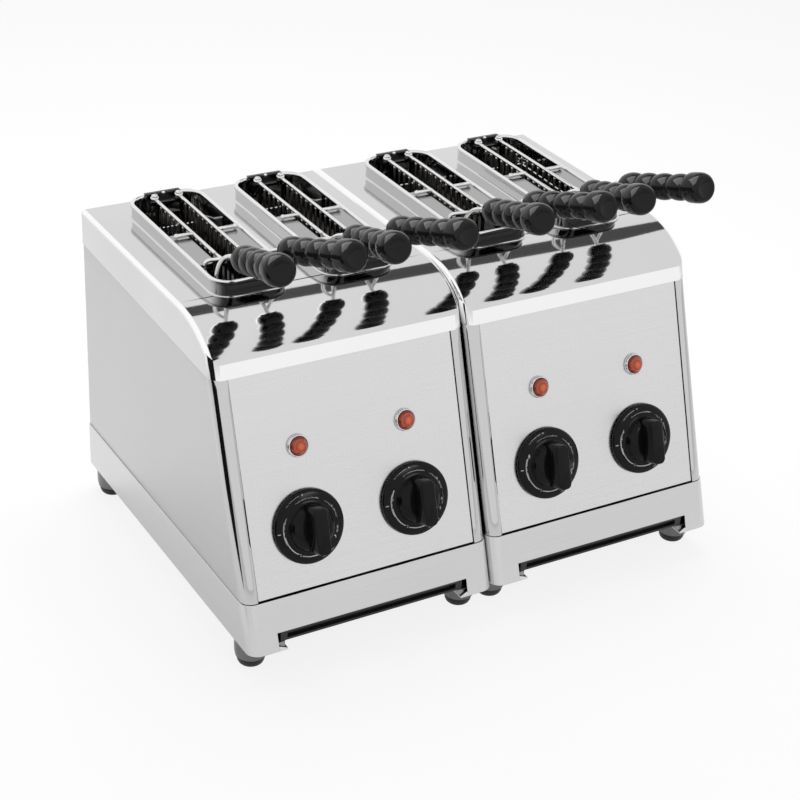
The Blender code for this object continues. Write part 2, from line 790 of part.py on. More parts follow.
def tong_half_mesh():
    """The right half of a tong, from its hinge axis at wire height: cage, eye, peg, loop and shank."""
    x = tong_half_gap
    rear_y, front_y = cage_rear - pivot_y, cage_front - pivot_y
    frame = rounded_rectangle(front_y, -cage_height, rear_y, 0, cage_corner, 2)
    obj = helper("cage", tube("cage", [(x, y, z) for y, z in frame], wire_radius, closed=True))
    for i in range(cage_rod_count):
        y = front_y + (rear_y - front_y) * (i + 1) / (cage_rod_count + 1)
        fuse(obj, helper("rod", tube("rod", [(x, y, -cage_height), (x, y, 0)], rod_radius)))
    eye = turned("eye", [(eye_radius, eye_height / 2), (eye_radius, -eye_height / 2),
                         (pin_radius + pin_play, -eye_height / 2), (pin_radius + pin_play, eye_height / 2),
                         (eye_radius, eye_height / 2)], 8)
    stub = tube("stub", [(x, rear_y - cage_corner, 0), (x, -eye_radius + wire_radius / 2, 0)], wire_radius)
    fuse(obj, helper("stub", stub))
    fuse(obj, helper("eye", eye, Matrix.Translation((x, 0, 0))))
    peg_start = Vector((x, peg_y - pivot_y, peg_z - wire_z))
    peg_end = peg_start + Vector((peg_length, 0, 0))
    fuse(obj, helper("peg", tube("peg", [peg_start, peg_end], wire_radius)))
    ball = bpy.data.meshes.new("ball")
    bm = bmesh.new()
    bmesh.ops.create_icosphere(bm, subdivisions=1, radius=ball_radius)
    bm.to_mesh(ball)
    bm.free()
    fuse(obj, helper("ball", ball, Matrix.Translation(peg_end)))
    near, far = grip_axis()
    inward = (far - near).normalized()
    near_y = front_y - loop_space
    ferrule = near - inward * cage_corner
    shank = [Vector((x, front_y + cage_corner + shank_overlap, 0)), Vector((x, near_y - loop_bend, wire_radius / 2)),
             ferrule, near + inward * (grip_bore_depth - gap)]
    fuse(obj, helper("shank", tube("shank", shank, wire_radius)))
    fuse(obj, helper("loop", tube("loop", loop_path(x, near_y, ferrule), wire_radius)))
    mesh = obj.data
    bpy.data.objects.remove(obj, do_unlink=True)
    shade(mesh)
    return mesh


def grip_mesh():
    """A ribbed grip with a blind bore for the shank; its near end is at the origin and it runs along -Z."""
    bore = wire_radius + gap
    collar_end_z = -grip_length * grip_collar_share
    cap_start_z, cap_full_z, cap_close_z = (-grip_length * share for share in grip_cap_shares)
    step = (collar_end_z - cap_start_z) / grip_bulges
    profile = [(0, -grip_bore_depth), (bore, -grip_bore_depth), (bore, 0), (grip_collar_radius, 0),
               (grip_collar_radius, collar_end_z)]
    for i in range(grip_bulges):
        z = collar_end_z - i * step
        for share in bulge_shares:
            swell = math.sqrt(math.sin(math.pi * share))
            radius = grip_groove_radius + (grip_radius - grip_groove_radius) * swell
            profile.append((radius, z - step * share))
        if i < grip_bulges - 1:
            profile.append((grip_groove_radius, z - step))
    profile += [(grip_groove_radius, cap_start_z), (grip_cap_radius, cap_full_z),
                (grip_cap_radius, cap_close_z), (grip_cap_radius * grip_end_share, -grip_length),
                (0, -grip_length)]
    return turned("grip", profile, 8)


def bridge_mesh():
    """The hinge bridge: a plate under both eyes, turned up and over the collar's rim, with two headed pins."""
    plate_top = -eye_height / 2 - gap
    plate_low = plate_top - bridge_sheet
    start = gap - eye_radius
    back = collar_end - bead_radius - gap - pivot_y
    lip_y = collar_end + bead_radius - pivot_y
    lip_top = gap + bridge_sheet
    profile = [(start, plate_low), (back, plate_low), (back, gap), (lip_y, gap), (lip_y, lip_top),
               (back - bridge_sheet, lip_top), (back - bridge_sheet, plate_top), (start, plate_top)]
    obj = helper("bridge", side_prism("bridge", profile, bridge_width))
    head_low = eye_height / 2 + gap
    head_top = head_low + pin_head_height
    pin_low = plate_top - bridge_sheet / 2
    for s in (-1, 1):
        pin = turned("pin", [(0, head_top), (pin_head_radius, head_top), (pin_head_radius, head_low),
                             (pin_radius, head_low), (pin_radius, pin_low), (0, pin_low)], 10)
        join(obj, helper("pin", pin, Matrix.Translation((s * tong_half_gap, 0, 0))))
    mesh = obj.data
    bpy.data.objects.remove(obj, do_unlink=True)
    return mesh


def mirrored(mesh):
    """The mesh flipped across X = 0, with its faces still pointing out."""
    flipped = mesh.copy()
    flipped.transform(Matrix.Scale(-1, 4, (1, 0, 0)))
    flipped.flip_normals()
    return flipped


def tong(number, cx, shared):
    """One tong: hinge bridge, two wire halves and two grips, on empties at its hinge axes."""
    name = "tong_{}".format(number)
    place(name + "_bridge", shared["bridge"].copy(), "wire", Matrix.Translation((cx, pivot_y, wire_z)))
    near, far = grip_axis()
    for hand, s in (("left", -1), ("right", 1)):
        axis = bpy.data.objects.new("{}_{}_hinge".format(name, hand), None)
        parts.objects.link(axis)
        axis.location = (cx + s * tong_half_gap, pivot_y, wire_z)
        half = shared["half"].copy() if s > 0 else mirrored(shared["half"])
        half.transform(Matrix.Translation((-s * tong_half_gap, 0, 0)))
        obj = place("{}_{}_half".format(name, hand), half, "wire")
        obj.parent = axis
        start = Vector((s * (near.x - tong_half_gap), near.y, near.z))
        end = Vector((s * (far.x - tong_half_gap), far.y, far.z))
        turn = (start - end).to_track_quat("Z", "X").to_matrix().to_4x4()
        grip = place("{}_{}_grip".format(name, hand), shared["grip"].copy(), "bakelite")
        grip.parent = axis
        grip.matrix_local = Matrix.Translation(start) @ turn


def build():
    shared = {"foot": foot_mesh(), "knob": knob_mesh(), "timer": timer_mesh(), "lamp": lamp_mesh(),
              "half": tong_half_mesh(), "grip": grip_mesh(), "bridge": bridge_mesh()}
    number = 0
    for side, cx in (("left", -module_pitch / 2), ("right", module_pitch / 2)):
        base_pan(side, cx)
        crumb_tray(side, cx)
        body_wrap(side, cx)
        control_panel(side, cx)
        top_cover(side, cx)
        rear_panel(side, cx)
        heat_shield(side, cx)
        feet(side, cx, shared)
        controls(side, cx, shared)
        heater(side, "left", cx - heater_outer_offset)
        heater(side, "middle", cx)
        heater(side, "right", cx + heater_outer_offset)
        for s in (-1, 1):
            number += 1
            tong(number, cx + s * slot_offset, shared)


build()
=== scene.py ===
import json
import math

import bmesh
import bpy
from mathutils import Matrix, Vector

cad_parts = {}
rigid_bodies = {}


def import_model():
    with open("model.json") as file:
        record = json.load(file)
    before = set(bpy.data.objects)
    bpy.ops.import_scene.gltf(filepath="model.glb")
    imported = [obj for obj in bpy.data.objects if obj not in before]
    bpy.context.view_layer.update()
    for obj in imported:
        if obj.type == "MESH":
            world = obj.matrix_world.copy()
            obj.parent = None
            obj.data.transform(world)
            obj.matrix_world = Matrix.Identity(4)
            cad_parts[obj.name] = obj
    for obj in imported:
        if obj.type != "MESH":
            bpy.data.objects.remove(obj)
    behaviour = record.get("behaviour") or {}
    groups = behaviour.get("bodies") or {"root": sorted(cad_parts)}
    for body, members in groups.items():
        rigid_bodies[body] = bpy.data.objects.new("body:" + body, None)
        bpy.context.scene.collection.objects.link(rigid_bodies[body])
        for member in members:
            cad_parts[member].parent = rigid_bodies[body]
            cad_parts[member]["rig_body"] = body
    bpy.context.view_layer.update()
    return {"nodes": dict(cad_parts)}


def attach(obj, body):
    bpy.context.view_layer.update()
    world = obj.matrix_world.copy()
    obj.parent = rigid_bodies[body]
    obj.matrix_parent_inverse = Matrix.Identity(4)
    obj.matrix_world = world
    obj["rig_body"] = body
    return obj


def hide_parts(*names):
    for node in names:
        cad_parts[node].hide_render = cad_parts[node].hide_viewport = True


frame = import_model()
print("frame loaded with", len(frame["nodes"]), "nodes")

housing = {
    "pitch": 0.215, "width": 0.2144, "depth": 0.3216, "lean": 18.6,
    "baseLow": 0.0245, "baseHigh": 0.063, "coverLow": 0.226, "top": 0.2622, "rearLift": 0.007,
    "proud": 0.0008, "panelRecess": 0.0010, "postRadius": 0.010, "rearRadius": 0.004, "gap": 0.0003}
sides = {"left": -housing["pitch"] / 2, "right": housing["pitch"] / 2}
slots = {1: -0.1535, 2: -0.0615, 3: 0.0615, 4: 0.1535}
slotOffset = 0.046

lean = math.radians(housing["lean"])
halfWidth = housing["width"] / 2
rear = housing["depth"] / 2
panelNormal = Vector((0, -math.cos(lean), math.sin(lean)))


def frontAt(z):  # where the leaning front plane is at a height
    return -rear + (z - housing["baseLow"]) * math.tan(lean)


# shader tools


class Signal:
    # a socket in a material; maths on it adds Math nodes
    def __init__(self, tree, socket=None):
        self.tree = tree
        self.socket = socket

    def node(self, kind, settings=None, inputs=None, output=0):
        made = self.tree.nodes.new("ShaderNode" + kind)
        for key, value in (settings or {}).items():
            if key == "stops":
                stops = made.color_ramp.elements
                while len(stops) < len(value):
                    stops.new(0.5)
                for stop, (place, colour) in zip(stops, value):
                    stop.position = place
                    stop.color = colour
            else:
                setattr(made, key, value)
        for key, value in (inputs or {}).items():
            if isinstance(value, Signal):
                self.tree.links.new(value.socket, made.inputs[key])
            else:
                made.inputs[key].default_value = value
        return Signal(self.tree, made.outputs[output])

    def math(self, operation, first, second=0.0, clamp=False):
        return self.node("Math", {"operation": operation, "use_clamp": clamp}, {0: first, 1: second})

    def __add__(self, other):
        return self.math("ADD", self, other)

    __radd__ = __add__

    def __sub__(self, other):
        return self.math("SUBTRACT", self, other)

    def __rsub__(self, other):
        return self.math("SUBTRACT", other, self)

    def __mul__(self, other):
        return self.math("MULTIPLY", self, other)

    __rmul__ = __mul__

    def __truediv__(self, other):
        return self.math("DIVIDE", self, other)

    def clamped(self):
        return self.math("ADD", self, 0.0, clamp=True)


def newFinish(name, settings):
    material = bpy.data.materials.new(name)
    material.use_nodes = True
    shader = material.node_tree.nodes["Principled BSDF"]
    for key, value in settings.items():
        shader.inputs[key].default_value = value
    start = Signal(material.node_tree)
    return material, start, shader, start.node("TexCoord", output=3)


def feed(shader, sockets):
    for key, signal in sockets.items():
        signal.tree.links.new(signal.socket, shader.inputs[key])


def blendColours(start, factor, low, high):
    return mixOf(start, factor, (*low, 1), (*high, 1))


def grainOf(start, place, stretch, detail=3.0):
    grain = start.node("Mapping", inputs={"Vector": place, "Scale": stretch})
    return start.node("TexNoise", inputs={"Vector": grain, "Scale": 1.0, "Detail": detail, "Roughness": 0.6})


def cloudOf(start, place, scale, detail=2.0):
    return start.node("TexNoise", inputs={"Vector": place, "Scale": scale, "Detail": detail})


def bumpOf(start, strength, distance, height):
    return start.node("Bump", inputs={"Strength": strength, "Distance": distance, "Height": height})


def mixOf(start, factor, low, high):
    return start.node("Mix", {"data_type": "RGBA"}, {0: factor, 6: low, 7: high}, 2)


def axesOf(start, place):
    # the x, y and z of a place, one signal each
    sockets = start.node("SeparateXYZ", inputs={0: place}).socket.node.outputs
    return [Signal(start.tree, socket) for socket in sockets]


# steel finishes

steel = {
    "dark": (0.60, 0.60, 0.605), "light": (0.72, 0.72, 0.72),
    "polish": 0.06, "polishSpread": 0.05, "satin": 0.27, "satinSpread": 0.10,
    "lines": (6.0, 6.0, 1500.0), "scratchDepth": 0.00003}


def brushedSteel(name, dark, light, roughness, spread, lines, strength):
    material, start, shader, place = newFinish(name, {"Metallic": 1.0})
    grain = grainOf(start, place, lines)
    cloud = cloudOf(start, place, 11.0)
    mixed = (grain * 0.7 + cloud * 0.3)
    bump = bumpOf(start, strength, steel["scratchDepth"], grain)
    feed(shader, {"Base Color": blendColours(start, mixed, dark, light),
                  "Roughness": roughness + (grain * 0.6 + cloud * 0.4 - 0.5) * spread,
                  "Normal": bump})
    return material


def polishedSteel(name, dark, light, roughness, spread):
    # mirror polish: soft clouds of wiping marks and a very slight waviness
    material, start, shader, place = newFinish(name, {"Metallic": 1.0})
    wipe = grainOf(start, place, (35.0, 9.0, 35.0))
    cloud = cloudOf(start, place, 6.0)
    wave = bumpOf(start, 0.12, 0.0004, cloudOf(start, place, 14.0, 1.0))
    feed(shader, {"Base Color": blendColours(start, cloud, dark, light),
                  "Roughness": roughness + (wipe * 0.6 + cloud * 0.4 - 0.35) * spread,
                  "Normal": wave})
    return material


def wrapSteel(name, dark, light):
    # satin sides, and polished where the sheet turns round the front post
    material, start, shader, place = newFinish(name, {"Metallic": 1.0})
    x, y, z = axesOf(start, place)
    depth = y - z * math.tan(lean) + (rear + housing["baseLow"] * math.tan(lean))
    satin = ((depth - 0.0105) / 0.0025).clamped()
    grain = grainOf(start, place, steel["lines"])
    cloud = cloudOf(start, place, 5.0)
    bump = bumpOf(start, 0.25, steel["scratchDepth"], grain * satin)
    feed(shader, {"Base Color": blendColours(start, grain * 0.5 + cloud * 0.5, dark, light),
                  "Roughness": 0.07 + satin * (0.20 + (grain * 0.5 + cloud * 0.5) * 0.10),
                  "Normal": bump})
    return material


def polishWithPaintedLight(name, dark, light, roughness, spread, bright, black):
    # the polished steel with painted light: a painted highlight where its vertex attribute is above zero, a
    # painted dark reflection where it is below zero
    material = polishedSteel(name, dark, light, roughness, spread)
    start, shader = Signal(material.node_tree), material.node_tree.nodes["Principled BSDF"]
    plain = Signal(start.tree, shader.inputs["Base Color"].links[0].from_socket)
    tone = start.node("Attribute", {"attribute_name": "tone"}, output=2)
    # painted highlight where the attribute is above zero
    highlighted = mixOf(start, tone.clamped(), plain, (*bright, 1))
    # painted dark reflection where the attribute is below zero
    darkReflected = mixOf(start, (tone * -1.0).clamped(), highlighted, (*black, 1))
    feed(shader, {"Base Color": darkReflected})
    return material


# the last two colours are the painted highlight and the painted dark reflection
coverSteel = polishWithPaintedLight("cover polished steel with painted light", steel["dark"], steel["light"], steel["polish"],
                         steel["polishSpread"], (0.96, 0.96, 0.96), (0.03, 0.03, 0.03))
ledgeFinish = polishedSteel("ledge polished steel", (0.32, 0.32, 0.325), (0.44, 0.44, 0.44), 0.12, 0.05)
wrapFinish = wrapSteel("body satin steel", (0.53, 0.53, 0.535), (0.63, 0.63, 0.63))
panelFinish = brushedSteel("panel satin steel", (0.66, 0.66, 0.665), (0.76, 0.76, 0.76), steel["satin"],
                           steel["satinSpread"], steel["lines"], 0.25)
baseFinish = brushedSteel("base satin steel", steel["dark"], steel["light"], 0.20, 0.08, steel["lines"], 0.2)
plainSteel = brushedSteel("plain steel", (0.36, 0.36, 0.37), (0.50, 0.50, 0.50), 0.38, 0.16,
                          (30.0, 30.0, 400.0), 0.4)
wireTones = (0.66, 0.66, 0.66), (0.86, 0.86, 0.85)
wireFinish = brushedSteel("bright wire", *wireTones, 0.11, 0.06, (300.0, 300.0, 300.0), 0.2)


slotShade = {"height": 0.2728, "fade": 0.0012, "frontFade": 0.0015}  # unshaded above this height and in front of y = 0; painted shade of the slot below it and behind


def wireWithPaintedShade(name):
    # bright above the slot and at the handle end, with painted shade dark in the slot where its shade falls
    material, start, shader, place = newFinish(name, {"Metallic": 1.0})
    x, y, z = axesOf(start, place)
    spots = cloudOf(start, place, 180.0, 3.0)
    above = ((z - slotShade["height"]) / slotShade["fade"]).clamped()
    ahead = ((y * -1.0) / slotShade["frontFade"]).clamped()
    unshaded = (above + ahead + (spots - 0.5) * 0.2).clamped()
    # painted shade: near-black inside the slot, for the slot's shade on the wires
    paintedShade = blendColours(start, spots, (0.020, 0.018, 0.016), (0.085, 0.078, 0.072))
    colour = mixOf(start, unshaded, paintedShade, blendColours(start, spots, *wireTones))
    feed(shader, {"Base Color": colour, "Roughness": 0.32 - unshaded * 0.20})
    return material


cageFinish = wireWithPaintedShade("wire with painted slot shade")

# black, rubber, lamp and ceramic finishes


def glossBlack(name, colour, roughness, specular, scale=220.0):
    material, start, shader, place = newFinish(name, {"Specular IOR Level": specular})
    pores = cloudOf(start, place, scale, 3.0)
    cloud = cloudOf(start, place, 30.0)
    lighter = tuple(c * 1.8 + 0.002 for c in colour)
    bump = bumpOf(start, 0.08, 0.00005, pores)
    feed(shader, {"Base Color": blendColours(start, cloud, colour, lighter),
                  "Roughness": roughness + (cloud - 0.5) * 0.06 + (pores - 0.5) * 0.03, "Normal": bump})
    return material


gripFinish = glossBlack("grip black plastic", (0.003, 0.003, 0.0032), 0.07, 0.20)
knobFinish = glossBlack("knob black plastic", (0.003, 0.003, 0.0032), 0.12, 0.15)
enamelFinish = glossBlack("black enamel", (0.012, 0.012, 0.012), 0.24, 0.5, 700.0)
rubberFinish = glossBlack("foot rubber", (0.010, 0.010, 0.010), 0.38, 0.4, 900.0)
darkSteel = brushedSteel("dark steel", (0.045, 0.045, 0.048), (0.10, 0.10, 0.105), 0.24, 0.10,
                         (200.0, 200.0, 200.0), 0.2)
footSteel = brushedSteel("foot dark steel", (0.16, 0.16, 0.165), (0.24, 0.24, 0.245), 0.20, 0.08,
                         (300.0, 300.0, 30.0), 0.2)
printFinish = glossBlack("white print", (0.50, 0.50, 0.50), 0.45, 0.3)
timerFinish = glossBlack("timer case", (0.28, 0.28, 0.26), 0.45, 0.4, 500.0)


def lensFinish(name):
    # painted light: brighter in the middle, with a dark ring and a lighter rim and a darker edge, by the rim
    # attribute, for light through the domed lens; the orange and the facets are the lens's own, and the same
    # painted pattern feeds its faint glow
    material, start, shader, place = newFinish(name, {"Roughness": 0.10, "Specular IOR Level": 0.6})
    rim = start.node("Attribute", {"attribute_name": "rim"}, output=2)
    facets = start.node("TexVoronoi", inputs={"Vector": place, "Scale": 900.0})
    share = rim + (facets - 0.5) * 0.10
    stops = [(0.0, (0.78, 0.17, 0.045, 1)), (0.34, (0.62, 0.095, 0.022, 1)),
             (0.52, (0.33, 0.030, 0.008, 1)), (0.70, (0.52, 0.075, 0.020, 1)),
             (0.93, (0.20, 0.018, 0.006, 1))]
    # painted light across the dome, by the share of the radius
    colour = start.node("ValToRGB", {"stops": stops}, {0: share})
    bump = bumpOf(start, 0.25, 0.0002, facets)
    feed(shader, {"Base Color": colour, "Emission Color": colour, "Normal": bump})
    shader.inputs["Emission Strength"].default_value = 0.12
    return material


lensMaterial = lensFinish("lamp lens")
bezelFinish = brushedSteel("lamp bezel", (0.62, 0.62, 0.62), (0.80, 0.80, 0.80), 0.16, 0.06,
                           (400.0, 400.0, 400.0), 0.1)


def quartzFinish(name):
    material, start, shader, place = newFinish(name, {"Roughness": 0.30})
    coil = start.node("TexWave", {"bands_direction": "Y"},
                      {"Vector": place, "Scale": 110.0, "Distortion": 0.6})
    cloud = cloudOf(start, place, 60.0, 3.0)
    colour = blendColours(start, coil * 0.7 + cloud * 0.3, (0.22, 0.19, 0.17), (0.72, 0.70, 0.66))
    bump = bumpOf(start, 0.3, 0.0003, coil)
    feed(shader, {"Base Color": colour, "Normal": bump})
    return material


quartzMaterial = quartzFinish("quartz tube")
print("finishes ready")

# mesh tools


def meshOf(name, bm):
    mesh = bpy.data.meshes.new(name)
    bm.to_mesh(mesh)
    bm.free()
    return mesh


def addPiece(name, bm, *settings, **more):
    bmesh.ops.recalc_face_normals(bm, faces=bm.faces)
    return addMesh(name, meshOf(name, bm), *settings, **more)


def addMesh(name, mesh, look, body, slot, nodes=(), sharp=35, flatten=False, wall=0.0, even=True):
    mesh.materials.append(look)
    mesh.shade_smooth()
    mesh.set_sharp_from_angle(angle=math.radians(sharp))
    piece = bpy.data.objects.new(name, mesh)
    bpy.context.scene.collection.objects.link(piece)
    if wall:
        solid = piece.modifiers.new("wall", "SOLIDIFY")
        solid.thickness = wall
        solid.offset = -1
        solid.use_even_offset = even
    if flatten:
        weighted = piece.modifiers.new("flat faces", "WEIGHTED_NORMAL")
        weighted.keep_sharp = True
        weighted.weight = 80
    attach(piece, body)
    if nodes:
        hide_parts(*nodes)
    return piece


def newVerts(made):
    return [item for item in made["geom"] if isinstance(item, bmesh.types.BMVert)]


def ringEdges(verts):
    inside = set(verts)
    found = {edge for vert in verts for edge in vert.link_edges if set(edge.verts) <= inside}
    return list(found)


def extrudeRing(bm, edges, shift=None, matrix=None):
    made = bmesh.ops.extrude_edge_only(bm, edges=edges)
    verts = newVerts(made)
    if shift is not None:
        bmesh.ops.translate(bm, vec=shift, verts=verts)
    if matrix is not None:
        bmesh.ops.transform(bm, matrix=matrix, verts=verts)
    return verts, ringEdges(verts)


def planRing(bm, xLow, xHigh, yLow, yHigh, z, frontRadius, rearRadius, steps):
    # a flat rounded rectangle; gives its face
    middle = (yLow + yHigh) / 2
    place = Matrix.Translation(((xLow + xHigh) / 2, middle, z))
    size = Matrix.Diagonal(((xHigh - xLow) / 2, (yHigh - yLow) / 2, 1, 1))
    known = set(bm.faces)
    verts = bmesh.ops.create_grid(bm, x_segments=1, y_segments=1, size=1, matrix=place @ size)["verts"]
    corners = [([v for v in verts if v.co.y < middle], frontRadius),
               ([v for v in verts if v.co.y > middle], rearRadius)]
    for pair, radius in corners:
        easeEdges(bm, pair, radius, steps, corners=True)
    return [f for f in bm.faces if f not in known][0]


def openFace(bm, face):
    # takes the face away and gives its edges
    edges = list(face.edges)
    bmesh.ops.delete(bm, geom=[face], context="FACES_ONLY")
    return edges


def pathFrames(points, closed=False):
    # a frame at each point of a path, without twist
    count = len(points)
    frames, across = [], None
    for i, point in enumerate(points):
        before = points[i - 1] if i or closed else point
        after = points[(i + 1) % count] if i < count - 1 or closed else point
        along = (after - before).normalized()
        across = along.orthogonal() if across is None else across
        across = (across - along * across.dot(along)).normalized()
        turn = Matrix((across, along.cross(across), along)).transposed().to_4x4()
        frames.append(Matrix.Translation(point) @ turn)
    return frames + frames[:1] if closed else frames


def closeTip(bm, edges, place, reach):
    # a small domed end on a wire
    matrix = place @ Matrix.Translation((0, 0, reach * 0.35)) @ Matrix.Diagonal((0.72, 0.72, 1, 1))
    tip, tipEdges = extrudeRing(bm, edges, matrix=matrix @ place.inverted())
    bmesh.ops.contextual_create(bm, geom=tipEdges)


def sweepWire(bm, points, radius, sideCount=10, closed=False):
    frames = pathFrames(points, closed)
    ring = bmesh.ops.create_circle(bm, cap_ends=False, segments=sideCount, radius=radius,
                                   matrix=frames[0])["verts"]
    first, edges = list(ring), ringEdges(ring)
    if not closed:
        closeTip(bm, edges, frames[0], -radius)
    for here, there in zip(frames, frames[1:]):
        ring, edges = extrudeRing(bm, edges, matrix=there @ here.inverted())
    if closed:
        bmesh.ops.remove_doubles(bm, verts=first + ring, dist=radius / 50)
    else:
        closeTip(bm, edges, frames[-1], radius)


def bent(start, middle, end, t):
    # a point of the curve from start to end that leans towards middle
    return start * (1 - t) ** 2 + middle * (2 * t * (1 - t)) + end * t ** 2


def roundedPath(corners, radius, steps=6, closed=False):
    # the corners of a path eased into small bends
    points, count = [], len(corners)
    for i, corner in enumerate(corners):
        if not closed and i in (0, count - 1):
            points.append(corner.copy())
            continue
        before, after = corners[i - 1] - corner, corners[(i + 1) % count] - corner
        reach = min(radius, before.length * 0.45, after.length * 0.45)
        start, end = corner + before.normalized() * reach, corner + after.normalized() * reach
        for step in range(steps + 1):
            t = step / steps
            points.append(bent(start, corner, end, t))
    return points


def cutAll(bm, place, way, clear=False):
    # cuts the whole mesh by a plane, and takes away what is outside it where clear is set
    geometry = list(bm.verts) + list(bm.edges) + list(bm.faces)
    return bmesh.ops.bisect_plane(bm, geom=geometry, dist=0.0000005, plane_co=place, plane_no=way,
                                  clear_outer=clear)["geom_cut"]


def easeEdges(bm, edges, width, steps, corners=False):
    bmesh.ops.bevel(bm, geom=edges, offset=width, segments=steps, profile=0.5,
                    affect="VERTICES" if corners else "EDGES", material=-1)


def uprightEdges(bm, least):
    return [e for e in bm.edges if abs(e.verts[0].co.z - e.verts[1].co.z) > least]


def turned(bm, profile, steps, closedRing=False):
    # spins a profile of (radius, height) about Z
    verts = [bm.verts.new((r, 0, z)) for r, z in profile]
    edges = [bm.edges.new(pair) for pair in zip(verts, verts[1:])]
    if closedRing:
        edges.append(bm.edges.new((verts[-1], verts[0])))
    bmesh.ops.spin(bm, geom=verts + edges, cent=(0, 0, 0), axis=(0, 0, 1), angle=2 * math.pi, steps=steps,
                   use_merge=True)
    bmesh.ops.remove_doubles(bm, verts=bm.verts, dist=0.000002)


def arcPoints(cx, cy, radius, start, end, steps):
    # points of an arc, in degrees, both ends included
    turn = [math.radians(start + (end - start) * i / steps) for i in range(steps + 1)]
    return [(cx + radius * math.cos(a), cy + radius * math.sin(a)) for a in turn]


def moved(bm, matrix):
    bmesh.ops.transform(bm, matrix=matrix, verts=bm.verts)
    return bm


def copied(bm, matrix):
    return moved(bm.copy(), matrix)


def mergeInto(bm, other):
    # adds another bmesh's geometry
    mesh = meshOf("part", other)
    bm.from_mesh(mesh)
    bpy.data.meshes.remove(mesh)


def block(bm, low, high):
    low, high = Vector(low), Vector(high)
    size = Matrix.Diagonal((*(high - low), 1))
    bmesh.ops.create_cube(bm, size=1, matrix=Matrix.Translation((low + high) / 2) @ size)


def panelMatrix(x, z, out=0.0):
    # local Z points out of the control panel and local Y up along it
    recess = housing["proud"] + housing["panelRecess"]
    face = Vector((x, frontAt(z) + recess / math.cos(lean), z))
    return Matrix.Translation(face + panelNormal * out) @ Matrix.Rotation(math.pi / 2 - lean, 4, "X")


def softened(node, look, slot, width, segments=2, angle=30):
    # a copy of a CAD node with its edges eased
    source = frame["nodes"][node]
    bm = bmesh.new()
    bm.from_mesh(source.data)
    bmesh.ops.remove_doubles(bm, verts=bm.verts, dist=0.000005)
    bmesh.ops.dissolve_limit(bm, angle_limit=math.radians(0.5), verts=bm.verts, edges=bm.edges)
    piece = addPiece(node + "_eased", bm, look, source["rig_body"], slot, (node,))
    ease = piece.modifiers.new("eased edges", "BEVEL")
    ease.width = width
    ease.segments = segments
    ease.limit_method = "ANGLE"
    ease.angle_limit = math.radians(angle)
    ease.harden_normals = True
    return piece


# top covers

cover = {
    "flatEnd": 0.131, "skirt": 0.0106, "footRise": 0.014, "footInset": 0.0065, "slopeSteps": 22,
    "creaseRadius": 0.0012, "edgeRadius": 0.0038, "edgeSteps": 6, "cornerSteps": 10, "wall": 0.0006,
    "floorTail": 0.005, "highlightDrop": 0.03}
collar = {
    "halfWidth": 0.0305, "front": 0.1235, "rearSpace": 0.0246, "radius": 0.015, "height": 0.0135,
    "wall": 0.0016, "bead": 0.0020, "fillet": 0.0018, "steps": 9}
collarFront = -rear + collar["front"]
collarRear = rear - collar["rearSpace"]
rim = housing["top"] + collar["height"]
beadHeight = rim - collar["bead"]


def coverProfile():
    # the cover's side, as (y, z), from the lower rear corner over the top to the lower front corner
    low, top = housing["coverLow"], housing["top"]
    foot = Vector((frontAt(low) + cover["footInset"], low + cover["footRise"]))
    flatEnd, bend = Vector((-rear + cover["flatEnd"], top)), Vector((foot.x + top - foot.y, top))
    points = [(rear, low + housing["rearLift"]), (rear, top)]
    for i in range(cover["slopeSteps"] + 1):
        points.append(tuple(bent(flatEnd, bend, foot, i / cover["slopeSteps"])))
    crease = Vector((frontAt(low + cover["skirt"]), low + cover["skirt"]))
    above = (Vector(points[-1]) - crease).normalized()
    below = (Vector((frontAt(low), low)) - crease).normalized()
    for t in (0, 0.25, 0.5, 0.75, 1):
        start, end = crease + above * cover["creaseRadius"], crease + below * cover["creaseRadius"]
        points.append(tuple(bent(start, crease, end, t)))
    points.append((frontAt(low), low))
    return points


def slotRing(bm, x, grow, z):
    half, radius = collar["halfWidth"] + grow, collar["radius"] + grow
    return openFace(bm, planRing(bm, x - half, x + half, collarFront - grow, collarRear + grow, z,
                                 radius, radius, collar["steps"]))


def collarProfile():
    # (grow, height) from the foot on the cover over the rolled rim and down inside
    wall, bead, fillet, top = collar["wall"] / 2, collar["bead"], collar["fillet"], housing["top"]
    turn = math.degrees(math.acos(wall / bead))
    points = arcPoints(wall + fillet, top + fillet, fillet, 270, 180, 4)
    points += arcPoints(0, beadHeight, bead, -turn, 180 + turn, 14)
    points += [(-wall, top), (-wall, top - cover["floorTail"])]
    return points


def paintLightOnCover(bm):
    # painted light: painted highlights along the rounded edges, on the skirt and on the collars' beads, and a
    # painted dark reflection on the collars' front walls
    tone = bm.verts.layers.float.new("tone")
    wallLow, wallHigh = housing["top"] + collar["fillet"] / 2, beadHeight + collar["bead"] / 2
    edgeStart = halfWidth - cover["edgeRadius"] + 0.0002
    for v in bm.verts:
        x, y, z = v.co
        onCollar = abs(abs(x) - slotOffset) < collar["halfWidth"] + collar["bead"] and collarFront - 0.003 < y
        # painted reflection of the dark grips and knobs on the collars' front walls
        if onCollar and wallLow < z < wallHigh:
            share = (collarFront + collar["radius"] - y) / collar["radius"]
            v[tone] = -min(1.0, max(0.0, share * 1.8 - 0.5))
        # painted highlight on the collars' beads
        elif z > wallHigh and onCollar:
            v[tone] = 0.5
        # painted highlight on the skirt
        elif y < 0 and z < housing["coverLow"] + cover["skirt"] + 0.0002 and abs(x) < halfWidth - 0.002:
            v[tone] = 0.75
        # painted highlight along the cover's rounded side edges
        elif edgeStart < abs(x) < halfWidth - 0.0001 and z > housing["top"] - cover["highlightDrop"]:
            v[tone] = 1.0


